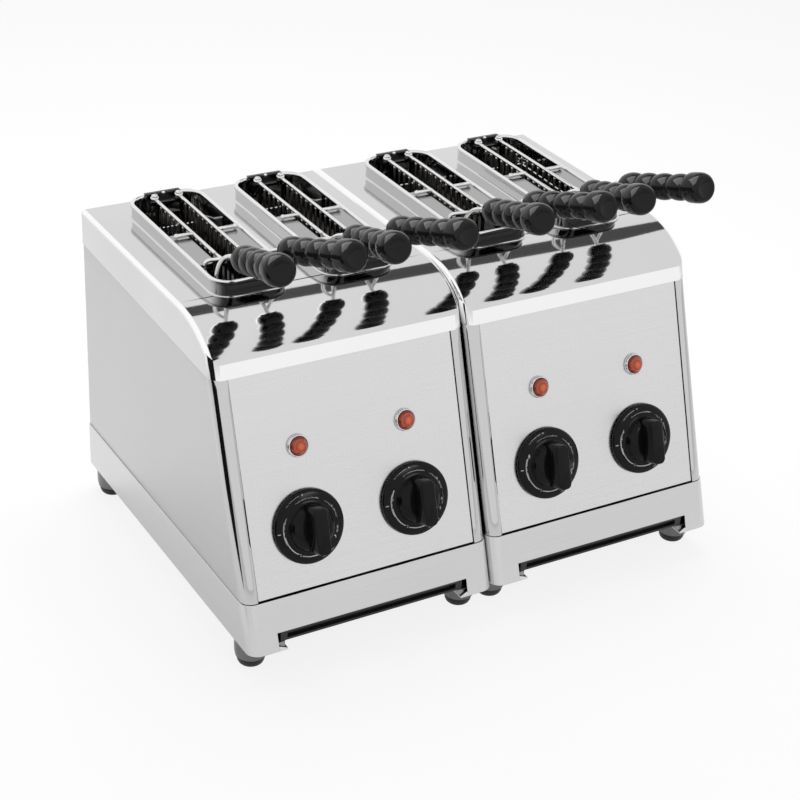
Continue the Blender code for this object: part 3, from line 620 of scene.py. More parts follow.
def topCover(side, cx):
    bm = bmesh.new()
    profile = [bm.verts.new((-halfWidth, y, z)) for y, z in coverProfile()]
    end = bm.faces.new(profile)
    made = bmesh.ops.extrude_face_region(bm, geom=[end])
    bmesh.ops.translate(bm, vec=(2 * halfWidth, 0, 0), verts=newVerts(made))
    bmesh.ops.recalc_face_normals(bm, faces=bm.faces)
    upright = [e for e in uprightEdges(bm, 0.01) if all(abs(v.co.y - rear) < 1e-6 for v in e.verts)]
    easeEdges(bm, upright, housing["rearRadius"], 6)
    bm.normal_update()

    def topEdge(edge):
        tilt = sorted(face.normal.z for face in edge.link_faces)
        return len(tilt) == 2 and tilt[1] > 0.5 and abs(tilt[0]) < 0.02

    easeEdges(bm, [e for e in bm.edges if topEdge(e)], cover["edgeRadius"], cover["edgeSteps"])
    radius = housing["postRadius"]
    for s in (-1, 1):  # the front corners are cut round by planes along the post
        axisPoint = Vector((s * (halfWidth - radius), frontAt(housing["coverLow"]), housing["coverLow"])) \
            - panelNormal * radius
        for step in range(cover["cornerSteps"]):
            turn = math.radians((step + 0.5) * 90 / cover["cornerSteps"])
            out = Vector((s * math.sin(turn), 0, 0)) + panelNormal * math.cos(turn)
            cut = cutAll(bm, axisPoint + out * radius, out, clear=True)
            rimEdges = [item for item in cut if isinstance(item, bmesh.types.BMEdge)]
            if rimEdges:
                bmesh.ops.contextual_create(bm, geom=rimEdges)
    bmesh.ops.remove_doubles(bm, verts=bm.verts, dist=0.000002)
    bmesh.ops.recalc_face_normals(bm, faces=bm.faces)
    bm.normal_update()
    bottom = [f for f in bm.faces if f.normal.z < -0.9]
    bmesh.ops.delete(bm, geom=bottom, context="FACES_ONLY")
    outer = openFace(bm, max((f for f in bm.faces if f.normal.z > 0.999), key=lambda f: f.calc_area()))
    feet = []
    for s in (-1, 1):
        rings = [slotRing(bm, s * slotOffset, grow, z) for grow, z in collarProfile()]
        feet += rings[0]
        for lower, upper in zip(rings, rings[1:]):
            bmesh.ops.bridge_loops(bm, edges=lower + upper)
    bmesh.ops.triangle_fill(bm, use_beauty=True, use_dissolve=False, edges=outer + feet)
    paintLightOnCover(bm)
    moved(bm, Matrix.Translation((cx, 0, 0)))
    addPiece(side + "_cover_skin", bm, coverSteel, "housing", "polished_steel", (side + "_top_cover",),
             flatten=True, wall=cover["wall"], even=False)


for side, cx in sides.items():
    topCover(side, cx)
print("top covers ready")

# ledges in the slots

ledge = {"start": 0.0375, "length": 0.058, "inner": 0.0141, "sheet": 0.0012, "round": 0.0060,
         "ease": 0.0004, "belowRim": 0.0016}
ledgeTop = rim - ledge["belowRim"] - housing["gap"]


def slotLedge(number, x, s):
    bm = bmesh.new()
    near, far = collarFront + ledge["start"], collarFront + ledge["start"] + ledge["length"]
    xs = sorted((x + s * ledge["inner"], x + s * (collar["halfWidth"] - collar["wall"] / 2)))
    block(bm, (xs[0], near, ledgeTop - ledge["sheet"]), (xs[1], far, ledgeTop))
    inner = [e for e in uprightEdges(bm, ledge["sheet"] / 2)
             if all(abs(v.co.x - x) < ledge["inner"] + 0.001 for v in e.verts)]
    easeEdges(bm, inner, ledge["round"], 8)
    easeEdges(bm, [e for e in bm.edges if all(v.co.z > ledgeTop - 1e-6 for v in e.verts)], ledge["ease"], 3)
    hand = "left" if s < 0 else "right"
    addPiece("slot_{}_{}_ledge".format(number, hand), bm, ledgeFinish, "housing", "polished_steel",
             flatten=True)


for number, x in slots.items():
    for s in (-1, 1):
        slotLedge(number, x, s)
print("ledges ready")

# body wraps

wrap = {"windowHalf": 0.0946, "flange": 0.012, "sheet": 0.0015, "cornerSteps": 12}


def raiseRing(bm, edges, rise):
    # extrudes a ring upwards, its front along the lean
    verts, edges = extrudeRing(bm, edges, shift=(0, 0, rise))
    bmesh.ops.translate(bm, vec=(0, rise * math.tan(lean), 0), verts=[v for v in verts if v.co.y < 0])
    return verts, edges


def bodyWrap(side, cx):
    bm = bmesh.new()
    inset = housing["proud"]
    low, high = housing["baseHigh"] + housing["gap"], housing["coverLow"] - housing["gap"]
    front, back = frontAt(low) + inset / math.cos(lean), rear - inset
    edges = openFace(bm, planRing(bm, inset - halfWidth, halfWidth - inset, front, back, low,
                                  housing["postRadius"] - inset, housing["rearRadius"] - inset,
                                  wrap["cornerSteps"]))
    heights = [low, low + wrap["flange"], high - wrap["flange"], high]
    for below, above in zip(heights, heights[1:]):
        verts, edges = raiseRing(bm, edges, above - below)
    depthTop = rear - frontAt(high)
    for v in verts:
        v.co.z += housing["rearLift"] * max(0.0, (v.co.y - frontAt(high)) / depthTop)
    for x in (-wrap["windowHalf"], wrap["windowHalf"]):
        cutAll(bm, (x, 0, 0), (1, 0, 0))
    bm.normal_update()

    def opening(f):
        middle = f.calc_center_median()
        atFront = middle.y < 0 and abs(middle.x) < wrap["windowHalf"]
        atBack = middle.y > rear - 0.002 and heights[1] < middle.z < heights[2]
        return atFront or (atBack and abs(middle.x) < wrap["windowHalf"])

    bmesh.ops.delete(bm, geom=[f for f in bm.faces if opening(f)], context="FACES")
    moved(bm, Matrix.Translation((cx, 0, 0)))
    addPiece(side + "_body_skin", bm, wrapFinish, "housing", "brushed_steel", (side + "_body_wrap",),
             flatten=True, wall=wrap["sheet"])


for side, cx in sides.items():
    bodyWrap(side, cx)
print("body wraps ready")

# base pans

base = {
    "notchHalf": 0.083, "notchHeight": 0.0137, "sheet": 0.0015, "floorHalf": 0.076, "floorEnd": 0.1018,
    "edge": 0.0005, "runnerWidth": 0.008, "trayLow": 0.029, "runnerStart": 0.004}


def basePan(side, cx):
    bm = bmesh.new()
    low, high = housing["baseLow"], housing["baseHigh"]
    planRing(bm, -halfWidth, halfWidth, -rear, rear, low, housing["postRadius"], housing["rearRadius"],
             wrap["cornerSteps"])
    edges = [e for e in bm.edges if len(e.link_faces) == 1]
    for rise in (base["notchHeight"], high - low - base["notchHeight"]):
        verts, edges = raiseRing(bm, edges, rise)
    for x in (-base["notchHalf"], base["notchHalf"], -base["floorHalf"], base["floorHalf"]):
        cutAll(bm, (x, 0, 0), (1, 0, 0))
    cutAll(bm, (0, base["floorEnd"], 0), (0, 1, 0))

    def opening(f):
        middle = f.calc_center_median()
        x, y, z = abs(middle.x), middle.y, middle.z - low
        atFloor = z < 0.0005 and x < base["floorHalf"] and y < base["floorEnd"]
        return atFloor or (0.0005 < z < base["notchHeight"] and y < -0.1 and x < base["notchHalf"])

    bmesh.ops.delete(bm, geom=[f for f in bm.faces if opening(f)], context="FACES")
    moved(bm, Matrix.Translation((cx, 0, 0)))
    piece = addPiece(side + "_base_skin", bm, baseFinish, "housing", "brushed_steel",
                     (side + "_base_pan",), wall=base["sheet"])
    ease = piece.modifiers.new("eased edges", "BEVEL")
    ease.width = base["edge"]
    ease.segments = 2
    ease.limit_method = "ANGLE"
    ease.angle_limit = math.radians(40)
    weighted = piece.modifiers.new("flat faces", "WEIGHTED_NORMAL")
    weighted.keep_sharp = True
    runners = bmesh.new()
    for s in (-1, 1):
        xs = sorted((cx + s * base["floorHalf"], cx + s * (base["floorHalf"] + base["runnerWidth"])))
        block(runners, (xs[0], frontAt(base["trayLow"]) + base["runnerStart"], low + base["sheet"]),
              (xs[1], base["floorEnd"], base["trayLow"] - housing["gap"]))
    addPiece(side + "_tray_runners", runners, plainSteel, "housing", "brushed_steel")


for side, cx in sides.items():
    basePan(side, cx)
print("base pans ready")

# knobs

knob = {
    "offset": 0.046, "height": 0.109, "standoff": 0.0012, "radius": 0.029, "steps": 72,
    "barLength": 0.038, "barWidth": 0.0135, "barFoot": 0.0062, "barHeight": 0.0245, "barRound": 0.0050,
    "barEase": 0.0009, "scaleRadius": 0.0223, "markRadius": 0.0262, "printLift": 0.00012,
    "printWall": 0.0002}
knobProfile = [
    (0, 0.0118), (0.0100, 0.0119), (0.0135, 0.0117), (0.0158, 0.0108), (0.0173, 0.0093),
    (0.0181, 0.0074), (0.0185, 0.0058), (0.0190, 0.0051), (0.0198, 0.0048), (0.0210, 0.0046),
    (0.0258, 0.0038), (0.0272, 0.0034), (0.0283, 0.0027), (0.0289, 0.0018), (0.0290, 0.0010),
    (0.0290, 0.0004), (0.0288, 0), (0.0275, 0), (0.0030, 0), (0.0030, -0.0140), (0, -0.0140)]


def skirtHeight(r):
    # height of the knob's skirt at a radius
    for (r0, z0), (r1, z1) in zip(knobProfile, knobProfile[1:]):
        if r0 <= r <= r1:
            return z0 + (z1 - z0) * (r - r0) / (r1 - r0)
    return 0.0


def knobBody():
    bm = bmesh.new()
    turned(bm, knobProfile, knob["steps"])
    bar = bmesh.new()
    half, long, low, high = knob["barWidth"] / 2, knob["barLength"] / 2, knob["barFoot"], knob["barHeight"]
    block(bar, (-half, -long, low), (half, long, high))
    easeEdges(bar, uprightEdges(bar, 0.01), knob["barRound"], 6)
    for v in bar.verts:  # the bar narrows towards its face
        share = (v.co.z - low) / (high - low)
        v.co.x *= 1 - 0.16 * share
        v.co.y *= 1 - 0.05 * share
    bar.normal_update()
    easeEdges(bar, [e for e in bar.edges if all(v.co.z > high - 1e-6 for v in e.verts)], knob["barEase"], 3)
    mergeInto(bm, bar)
    return bm


def scaleArc(bm, radius, start, end, startWidth, endWidth):
    # a printed arc on the skirt, in degrees clockwise from the top
    steps = max(6, int(abs(end - start) / 4))
    sweep = math.radians(end - start)
    a = math.radians(90 - start)
    known = set(bm.verts)
    verts = [bm.verts.new((r * math.cos(a), r * math.sin(a), 0)) for r in (radius - 0.5, radius + 0.5)]
    edge = bm.edges.new(verts)
    bmesh.ops.spin(bm, geom=[*verts, edge], cent=(0, 0, 0), axis=(0, 0, -1), angle=sweep,
                   steps=steps)
    for v in bm.verts:
        if v not in known:
            r = math.hypot(v.co.x, v.co.y)
            here = (90 - math.degrees(math.atan2(v.co.y, v.co.x)) - start) % 360 / (end - start)
            width = startWidth + (endWidth - startWidth) * min(1.0, here)
            r2 = radius + (width / 2 if r > radius else -width / 2)
            v.co.x, v.co.y = v.co.x * r2 / r, v.co.y * r2 / r


def digitMesh(text, size):
    curve = bpy.data.curves.new("digit " + text, "FONT")
    curve.body = text
    curve.size = size
    curve.align_x, curve.align_y = "CENTER", "CENTER"
    curve.resolution_u = 3
    holder = bpy.data.objects.new("digit", curve)
    bpy.context.scene.collection.objects.link(holder)
    bpy.context.view_layer.update()
    ready = holder.evaluated_get(bpy.context.evaluated_depsgraph_get())
    mesh = bpy.data.meshes.new_from_object(ready)
    bpy.data.objects.remove(holder, do_unlink=True)
    return mesh


# angles are degrees clockwise from the top
knobScale = {
    "arcs": [(278, 302, 0.0004, 0.0004), (215, 262, 0.0011, 0.0005), (152, 205, 0.0013, 0.0012),
             (66, 112, 0.0014, 0.0018)],
    "outerArc": (318, 345, 0.0003, 0.0005),
    "digits": [("1", 270, 0.0223), ("2", 210, 0.0225), ("3", 122, 0.0225), ("4", 58, 0.0225)],
    "digitSize": 0.0030, "dash": (270, 0.0024, 0.0007), "dot": (352, 0.00055)}


def markPlace(angle):
    turn = Matrix.Rotation(math.radians(90 - angle), 4, "Z")
    return turn @ Matrix.Translation((knob["markRadius"], 0, 0))


def knobPrint():
    bm = bmesh.new()
    for start, end, startWidth, endWidth in knobScale["arcs"]:
        scaleArc(bm, knob["scaleRadius"], start, end, startWidth, endWidth)
    scaleArc(bm, knob["markRadius"], *knobScale["outerArc"])
    angle, length, width = knobScale["dash"]
    bmesh.ops.create_grid(bm, x_segments=1, y_segments=1, size=1,
                          matrix=markPlace(angle) @ Matrix.Diagonal((length / 2, width / 2, 1, 1)))
    angle, size = knobScale["dot"]
    bmesh.ops.create_circle(bm, cap_ends=True, segments=12, radius=size, matrix=markPlace(angle))
    for text, angle, radius in knobScale["digits"]:
        mesh = digitMesh(text, knobScale["digitSize"])
        a = math.radians(90 - angle)
        mesh.transform(Matrix.Translation((radius * math.cos(a), radius * math.sin(a), 0)))
        bm.from_mesh(mesh)
        bpy.data.meshes.remove(mesh)
    bmesh.ops.remove_doubles(bm, verts=bm.verts, dist=0.000001)
    for v in bm.verts:
        v.co.z = skirtHeight(math.hypot(v.co.x, v.co.y)) + knob["printLift"]
    bmesh.ops.recalc_face_normals(bm, faces=bm.faces)
    for face in bm.faces:
        face.normal_update()
        if face.normal.z < 0:
            face.normal_flip()
    return bm


knobShape, printShape = knobBody(), knobPrint()
for side, cx in sides.items():
    for hand, s in (("left", -1), ("right", 1)):
        at = panelMatrix(cx + s * knob["offset"], knob["height"], knob["standoff"])
        node = "{}_knob_{}".format(side, hand)
        shell = addPiece(node + "_shell", copied(knobShape, at), knobFinish, node, "black_plastic", (node,))
        shell["lit"] = "knobs"
        mesh = meshOf(node + "_scale", copied(printShape, at))
        addMesh(node + "_scale", mesh, printFinish, node, "black_plastic", wall=knob["printWall"], even=False)
print("knobs ready")

# pilot lamps

lamp = {"height": 0.1683, "lensRadius": 0.0071, "steps": 48}
lensProfile = [
    (0, 0.0070), (0.0014, 0.0069), (0.0028, 0.0066), (0.0041, 0.0061), (0.0052, 0.0054),
    (0.0061, 0.0045), (0.0067, 0.0035), (0.0070, 0.0026), (lamp["lensRadius"], 0.0014), (0, 0.0014)]
bezelProfile = [
    (0, 0.0010), (0.0070, 0.0010), (0.0071, 0.0014), (0.0073, 0.0026), (0.0077, 0.0029),
    (0.0083, 0.0028), (0.0088, 0.0021), (0.0090, 0.0010), (0.0090, 0.0003), (0.0058, 0.0003),
    (0.0058, -0.0200), (0, -0.0200)]


def pilotLamp(side, hand, x):
    at = panelMatrix(x, lamp["height"])
    lens = bmesh.new()
    turned(lens, lensProfile, lamp["steps"])
    share = lens.verts.layers.float.new("rim")
    for v in lens.verts:
        v[share] = math.hypot(v.co.x, v.co.y) / lamp["lensRadius"]
    moved(lens, at)
    bmesh.ops.recalc_face_normals(lens, faces=lens.faces)
    node = "{}_pilot_lamp_{}".format(side, hand)
    addPiece(node + "_lens", lens, lensMaterial, "housing", "lamp_orange", (node,))
    bezel = bmesh.new()
    turned(bezel, bezelProfile, lamp["steps"])
    addPiece(node + "_bezel", moved(bezel, at), bezelFinish, "housing", "lamp_orange")


for side, cx in sides.items():
    for hand, s in (("left", -1), ("right", 1)):
        pilotLamp(side, hand, cx + s * knob["offset"])
print("pilot lamps ready")

# feet

foot = {"inset": 0.0145, "frontInset": 0.030, "rearInset": 0.0165, "steps": 48}
footProfile = [
    (0, 0.0242), (0.0126, 0.0242), (0.0130, 0.0238), (0.0130, 0.0150), (0.0128, 0.0110),
    (0.0122, 0.0075), (0.0118, 0.0072), (0, 0.0072)]
tipProfile = [
    (0, 0.0071), (0.0117, 0.0071), (0.0119, 0.0068), (0.0112, 0.0064), (0.0110, 0.0050),
    (0.0106, 0.0028), (0.0097, 0.0009), (0.0088, 0), (0, 0)]


def footPieces(name, x, y):
    at = Matrix.Translation((x, y, 0))
    sleeve = bmesh.new()
    turned(sleeve, footProfile, foot["steps"])
    addPiece(name + "_sleeve", moved(sleeve, at), footSteel, "housing", "rubber_foot", (name,))
    tip = bmesh.new()
    turned(tip, tipProfile, foot["steps"])
    addPiece(name + "_tip", moved(tip, at), rubberFinish, "housing", "rubber_foot")


for side, cx in sides.items():
    for row, y in (("front", -rear + foot["frontInset"]), ("rear", rear - foot["rearInset"])):
        for hand, s in (("left", -1), ("right", 1)):
            footPieces("{}_foot_{}_{}".format(side, row, hand), cx + s * (halfWidth - foot["inset"]), y)
print("feet ready")

# tongs

tong = {
    "pivotY": 0.1257, "wireZ": rim, "wire": 0.0016, "rod": 0.0011, "halfGap": 0.0105,
    "cageFront": -0.1230, "cageRear": -0.0050, "cageHeight": 0.1205, "corner": 0.006, "rods": 13,
    "crossRods": (-0.040, -0.080), "eyeRadius": 0.0034, "eyeHeight": 0.0042, "pin": 0.0014,
    "pinSpace": 0.0004, "pegY": -0.0755, "pegLength": 0.0145, "ball": 0.0022, "loopReach": 0.0150,
    "loopSpace": 0.0057, "loopLength": 0.0200, "loopRise": 0.0028, "loopDrop": 0.0075,
    "loopBend": 0.0045, "archSteps": 12}
grip = {
    "length": 0.0945, "radius": 0.0108, "groove": 0.0083, "collar": 0.0070, "cap": 0.0122, "bulges": 4,
    "steps": 44, "startSpread": 0.0178, "endSpread": 0.0292, "startRise": 0.0230, "endRise": 0.0529,
    "clearance": 0.0519, "bore": 0.016, "boreRadius": 0.0019, "bulgeStart": 0.03, "bulgeEnd": 0.79}
gripNear = Vector((grip["startSpread"], tong["cageFront"] - grip["clearance"], grip["startRise"]))
spread, rise = grip["endSpread"] - grip["startSpread"], grip["endRise"] - grip["startRise"]
gripFar = gripNear + Vector((spread, -math.sqrt(grip["length"] ** 2 - spread ** 2 - rise ** 2), rise))
gripWay = (gripFar - gripNear).normalized()


def loopPath(x, near, ferrule):
    # from the grip back over the top wire, out, down, forward, and in an arch up to the grip again
    out, far, low = x + tong["loopReach"], near - tong["loopLength"], -tong["loopDrop"]
    over = Vector((x + 0.0010, near - 0.004, tong["wire"] * 2 + 0.0002))
    foot, crown = Vector((out, far, low + 0.003)), Vector((out, far - 0.003, ferrule.z))
    corners = [ferrule, over, Vector((out, near, tong["loopRise"])), Vector((out, near, low)),
               Vector((out, far, low)), foot]
    points = roundedPath(corners, tong["loopBend"], 8)
    for i in range(1, tong["archSteps"] + 1):
        t = i / tong["archSteps"]
        points.append(bent(foot, crown, ferrule, t))
    return points


def tongHalf():
    # the right half, from its hinge axis at wire height
    x, front, back, low = tong["halfGap"], tong["cageFront"], tong["cageRear"], -tong["cageHeight"]
    wires = bmesh.new()

    def straight(y0, z0, y1, z1, radius, sideCount):
        sweepWire(wires, [Vector((x, y0, z0)), Vector((x, y1, z1))], radius, sideCount)

    cage = [Vector((x, y, z)) for y, z in ((front, 0), (front, low), (back, low), (back, 0))]
    sweepWire(wires, roundedPath(cage, tong["corner"] * 1.3, 6, closed=True), tong["wire"], 12, closed=True)
    for i in range(tong["rods"]):
        y = front + (back - front) * (i + 1) / (tong["rods"] + 1)
        straight(y, low, y, -0.0004, tong["rod"], 8)
    for z in tong["crossRods"]:
        straight(front, z, back, z, tong["rod"], 8)
    straight(back - tong["corner"], 0, 0.0008 - tong["eyeRadius"], 0, tong["wire"], 12)
    eye = bmesh.new()
    inner, outer, tall = tong["pin"] + tong["pinSpace"], tong["eyeRadius"], tong["eyeHeight"] / 2
    upper = [(inner, tall - 0.0003), (inner + 0.0003, tall), (outer - 0.0005, tall), (outer, tall - 0.0005)]
    turned(eye, upper + [(r, -z) for r, z in reversed(upper)], 28, True)
    mergeInto(wires, moved(eye, Matrix.Translation((x, 0, 0))))
    pegZ = -tong["wire"] + tong["ball"]
    peg = [Vector((x, tong["pegY"], pegZ)), Vector((x + tong["pegLength"], tong["pegY"], pegZ))]
    sweepWire(wires, peg, tong["wire"], 12)
    ball = bmesh.new()
    bmesh.ops.create_uvsphere(ball, u_segments=20, v_segments=14, radius=tong["ball"])
    mergeInto(wires, moved(ball, Matrix.Translation(peg[1])))
    near = front - tong["loopSpace"]
    ferrule = gripNear - gripWay * tong["corner"]
    shank = [Vector((x, front + tong["corner"] + 0.0018, 0)), Vector((x, near - 0.003, 0.0008)), ferrule,
             gripNear + gripWay * (grip["bore"] - 0.0003)]
    sweepWire(wires, roundedPath(shank, 0.006), tong["wire"], 12)
    sweepWire(wires, loopPath(x, near, ferrule), tong["wire"], 12)
    return wires


def gripProfile():
    # from the near end's bore over four bulges to the barrel cap
    length = grip["length"]
    groove, cap, neck, bore = grip["groove"], grip["cap"], grip["collar"], grip["boreRadius"]
    start, end = -length * grip["bulgeStart"], -length * grip["bulgeEnd"]
    points = [(0, -grip["bore"]), (bore, -grip["bore"]), (bore, -0.0006), (bore + 0.0005, 0),
              (neck - 0.0008, 0), (neck, -0.0008), (neck + 0.0004, start)]
    step = (start - end) / grip["bulges"]
    for i in range(grip["bulges"]):
        for share in (0.03, 0.10, 0.20, 0.33, 0.48, 0.62, 0.74, 0.84, 0.91, 0.96, 1.0):
            swell = max(0.0, math.sin(math.pi * share ** 1.15)) ** 0.62
            points.append((groove + (grip["radius"] - groove) * swell, start - step * (i + share)))
    points += [(groove, -length * 0.797), (groove + 0.0002, -length * 0.802)]
    capSide = [(0.0022, 0.812), (0.0007, 0.826), (0.0001, 0.845), (0, 0.88), (0, 0.925), (0.0003, 0.955),
               (0.0011, 0.978), (0.0024, 0.994), (0.0038, 1), (0.0052, 0.996), (0.0070, 0.992)]
    points += [(cap - inset, -length * share) for inset, share in capSide]
    return points + [(0.0020, -length * 0.991), (0, -length * 0.991)]


def gripShape():
    bm = bmesh.new()
    turned(bm, gripProfile(), grip["steps"])
    turn = (gripNear - gripFar).to_track_quat("Z", "X").to_matrix().to_4x4()
    return moved(bm, Matrix.Translation(gripNear) @ turn)


bridge = {
    "width": 0.030, "sheet": 0.002, "plateFront": -0.0030, "plateTop": -0.0024, "uprightY": 0.0082,
    "lipTop": 0.0015, "lipSheet": 0.0012, "lipEnd": 0.0118, "rivet": 0.0014, "rivetRise": 0.0012,
    "pinHead": 0.0026}


def bridgeShape():
    # the hinge plate under the eyes, its upright back and its lip; the two pins come from pinShape
    bm = bmesh.new()
    half, top, back = bridge["width"] / 2, bridge["plateTop"], bridge["uprightY"]
    block(bm, (-half, bridge["plateFront"], top - bridge["sheet"]), (half, back, top))
    easeEdges(bm, uprightEdges(bm, bridge["sheet"] / 2), 0.0015, 3)
    upright = bmesh.new()
    block(upright, (-half, back - bridge["sheet"], top - bridge["sheet"] / 2), (half, back, bridge["lipTop"]))
    mergeInto(bm, upright)
    lip = bmesh.new()
    block(lip, (-half, back - bridge["sheet"], bridge["lipTop"] - bridge["lipSheet"]),
          (half, bridge["lipEnd"], bridge["lipTop"]))
    edges = [e for e in lip.edges if abs(e.verts[0].co.x - e.verts[1].co.x) > 0.01]
    easeEdges(lip, edges, 0.0006, 2)
    mergeInto(bm, lip)
    return bm


def pinShape():
    bm = bmesh.new()
    for s in (-1, 1):
        pin = bmesh.new()
        head, stem = bridge["pinHead"], tong["pin"]
        turned(pin, [(0, 0.0040), (head - 0.0012, 0.0039), (head - 0.0003, 0.0034), (head, 0.0029),
                     (head, 0.0024), (stem, 0.0024), (stem, -0.0060), (0, -0.0060)], 24)
        mergeInto(bm, moved(pin, Matrix.Translation((s * tong["halfGap"], 0, 0))))
    rivet = bmesh.new()
    size, front = bridge["rivet"], bridge["uprightY"] - bridge["sheet"]
    turned(rivet, [(0, 0.0009), (0.0008, 0.0007), (size, 0.0002), (size, -0.0010), (0, -0.0010)], 20)
    face = Matrix.Translation((0, front, bridge["rivetRise"])) @ Matrix.Rotation(math.pi / 2, 4, "X")
    mergeInto(bm, moved(rivet, face))
    return bm


halfShape, gripBody, bridgeBody, pinBody = tongHalf(), gripShape(), bridgeShape(), pinShape()
mirror = Matrix.Scale(-1, 4, (1, 0, 0))
for number, x in slots.items():
    name = "tong_{}".format(number)
    at = Matrix.Translation((x, tong["pivotY"], tong["wireZ"]))
    addPiece(name + "_hinge_plate", copied(bridgeBody, at), darkSteel, name, "steel_wire",
             (name + "_bridge",))
    addPiece(name + "_hinge_pins", copied(pinBody, at), wireFinish, name, "steel_wire")
    for hand, turn in (("left", at @ mirror), ("right", at)):
        body = "{}_{}".format(name, hand)
        addPiece(body + "_wires", copied(halfShape, turn), cageFinish, body, "steel_wire",
                 (body + "_half",), sharp=50)
        handle = addPiece(body + "_handle", copied(gripBody, turn), gripFinish, body, "black_plastic",
                          (body + "_grip",), sharp=50)
        handle["lit"] = "grips"
print("tongs ready")

# CAD nodes that stay, with eased edges and finishes

for side in sides:
    softened(side + "_control_panel", panelFinish, "brushed_steel", 0.0004)
    softened(side + "_crumb_tray", enamelFinish, "black_enamel", 0.0006, 3)
    softened(side + "_rear_panel", plainSteel, "plain_steel", 0.0003)
    softened(side + "_heat_shield", plainSteel, "plain_steel", 0.0003)
    for hand in ("left", "right"):
        softened("{}_timer_{}".format(side, hand), timerFinish, "timer_case", 0.0006)
    for row in ("left", "middle", "right"):
        softened("{}_heater_{}".format(side, row), quartzMaterial, "quartz", 0.0005)
print("carried nodes ready")

# camera, floor and light

view = {
    "place": (-0.7311, -1.2109, 0.8967), "yaw": -31.135, "pitch": 28.923, "roll": 2.946, "lens": 87.04,
    "sensor": 36, "far": 50}


def aimCamera():
    data = bpy.data.cameras.new("camera")
    data.lens = view["lens"]
    data.sensor_width = view["sensor"]
    data.clip_end = view["far"]
    camera = bpy.data.objects.new("camera", data)
    bpy.context.scene.collection.objects.link(camera)
    yaw, pitch, roll = (math.radians(view[key]) for key in ("yaw", "pitch", "roll"))
    tilt = Matrix.Rotation(math.pi / 2 - pitch, 4, "X") @ Matrix.Rotation(roll, 4, "Z")
    camera.matrix_world = Matrix.Translation(view["place"]) @ Matrix.Rotation(yaw, 4, "Z") @ tilt
    bpy.context.scene.camera = camera


# each light: name, place, target, width, height, power, shown in metal, and what it lights
studio = {
    "ambient": 0.45, "floorSize": 6.0, "floorColour": (0.90, 0.90, 0.90), "floorSeen": 0.85,
    "floorMirrored": 0.45,
    "lights": [("overhead softbox", (0.15, 0.45, 1.35), (0.0, 0.05, 0.25), 0.9, 0.7, 15.0, False, "all"),
               ("back left strip", (-1.0, 1.55, 1.15), (-0.2, 0.0, 0.26), 0.7, 0.5, 4.5, False, "all"),
               ("front right lamp", (0.95, -1.65, 1.2), (0.0, -0.13, 0.11), 0.35, 0.35, 3.5, False, "all"),
               ("grip window", (-0.35, 0.15, 1.15), (0.0, -0.15, 0.30), 1.3, 1.1, 26.0, True, "grips"),
               ("knob window", (0.55, -1.35, 0.95), (0.0, -0.16, 0.11), 0.5, 0.4, 3.0, True, "knobs")],
    "cards": [("dark card left", (-0.65, -0.235, 0.14), (-0.2, -0.20, 0.14), 0.37, 0.28, 0.01),
              ("dark card above", (0.90, 1.03, 1.70), (0.0, -0.03, 0.26), 1.4, 0.50, 0.09)]}


def lightPath(start, camera, mirrored):
    # shares for the camera and for what glossy and clear surfaces show
    path = start.node("LightPath")
    sockets = path.socket.node.outputs
    seen, glossy, through = (Signal(start.tree, sockets[key])
                             for key in ("Is Camera Ray", "Is Glossy Ray", "Is Transmission Ray"))
    return seen * camera + (glossy + through).clamped() * mirrored


def buildWorld():
    world = bpy.data.worlds.new("studio")
    bpy.context.scene.world = world
    world.use_nodes = True
    tree = world.node_tree
    start = Signal(tree)
    seen = lightPath(start, 1.0, 1.0)
    background = tree.nodes["Background"]
    background.inputs["Color"].default_value = (1, 1, 1, 1)
    strength = studio["ambient"] + seen * (1 - studio["ambient"])
    tree.links.new(strength.socket, background.inputs["Strength"])


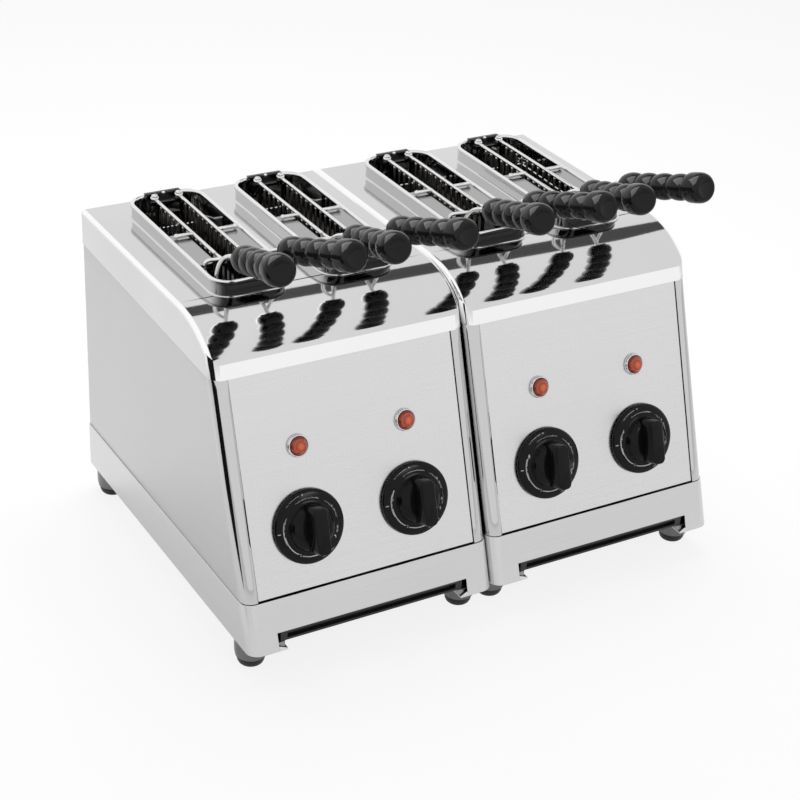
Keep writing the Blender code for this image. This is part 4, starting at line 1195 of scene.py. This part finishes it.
def flatStage(name, matrix, size):
    # a flat square of the studio, which isn't part of the object
    bm = bmesh.new()
    bmesh.ops.create_grid(bm, x_segments=1, y_segments=1, size=size, matrix=matrix)
    made = bpy.data.objects.new(name, meshOf(name, bm))
    bpy.context.scene.collection.objects.link(made)
    return made


def buildFloor():
    floor = flatStage("floor", Matrix.Identity(4), studio["floorSize"])
    material, start, shader, place = newFinish("pale floor", {
        "Base Color": (*studio["floorColour"], 1), "Roughness": 0.9, "Specular IOR Level": 0.0})
    tree = start.tree
    glow = start.node("Emission", inputs={"Color": (1, 1, 1, 1), "Strength": 1.0})
    matte = Signal(tree, shader.outputs[0])
    mixed = start.node("MixShader", inputs={0: lightPath(start, studio["floorSeen"], studio["floorMirrored"]),
                                              1: matte, 2: glow})
    tree.links.new(mixed.socket, tree.nodes["Material Output"].inputs["Surface"])
    floor.data.materials.append(material)


def lookAt(place, target):
    way = Vector(target) - Vector(place)
    return Matrix.Translation(place) @ way.to_track_quat("-Z", "Y").to_matrix().to_4x4()


def buildLights():
    for name, place, target, width, height, power, shown, lit in studio["lights"]:
        data = bpy.data.lights.new(name, "AREA")
        data.shape = "RECTANGLE"
        data.size, data.size_y, data.energy = width, height, power
        light = bpy.data.objects.new(name, data)
        bpy.context.scene.collection.objects.link(light)
        light.matrix_world = lookAt(place, target)
        light.visible_camera = False
        light.visible_glossy = shown
        if lit != "all":
            group = bpy.data.collections.new(name)
            for piece in bpy.context.scene.objects:
                if lit in piece.get("lit", ""):
                    group.objects.link(piece)
            light.light_linking.receiver_collection = group
    for name, place, target, width, height, shade in studio["cards"]:
        card = flatStage(name, lookAt(place, target) @ Matrix.Diagonal((width / 2, height / 2, 1, 1)), 1)
        card.visible_camera = card.visible_diffuse = card.visible_shadow = False
        material, start, shader, place = newFinish(name, {
            "Base Color": (0, 0, 0, 1), "Roughness": 1.0, "Specular IOR Level": 0.0,
            "Emission Color": (shade, shade, shade, 1), "Emission Strength": 1.0})
        card.data.materials.append(material)


aimCamera()
buildWorld()
buildFloor()
buildLights()
bpy.context.scene.view_settings.view_transform = "Standard"
print("studio ready")
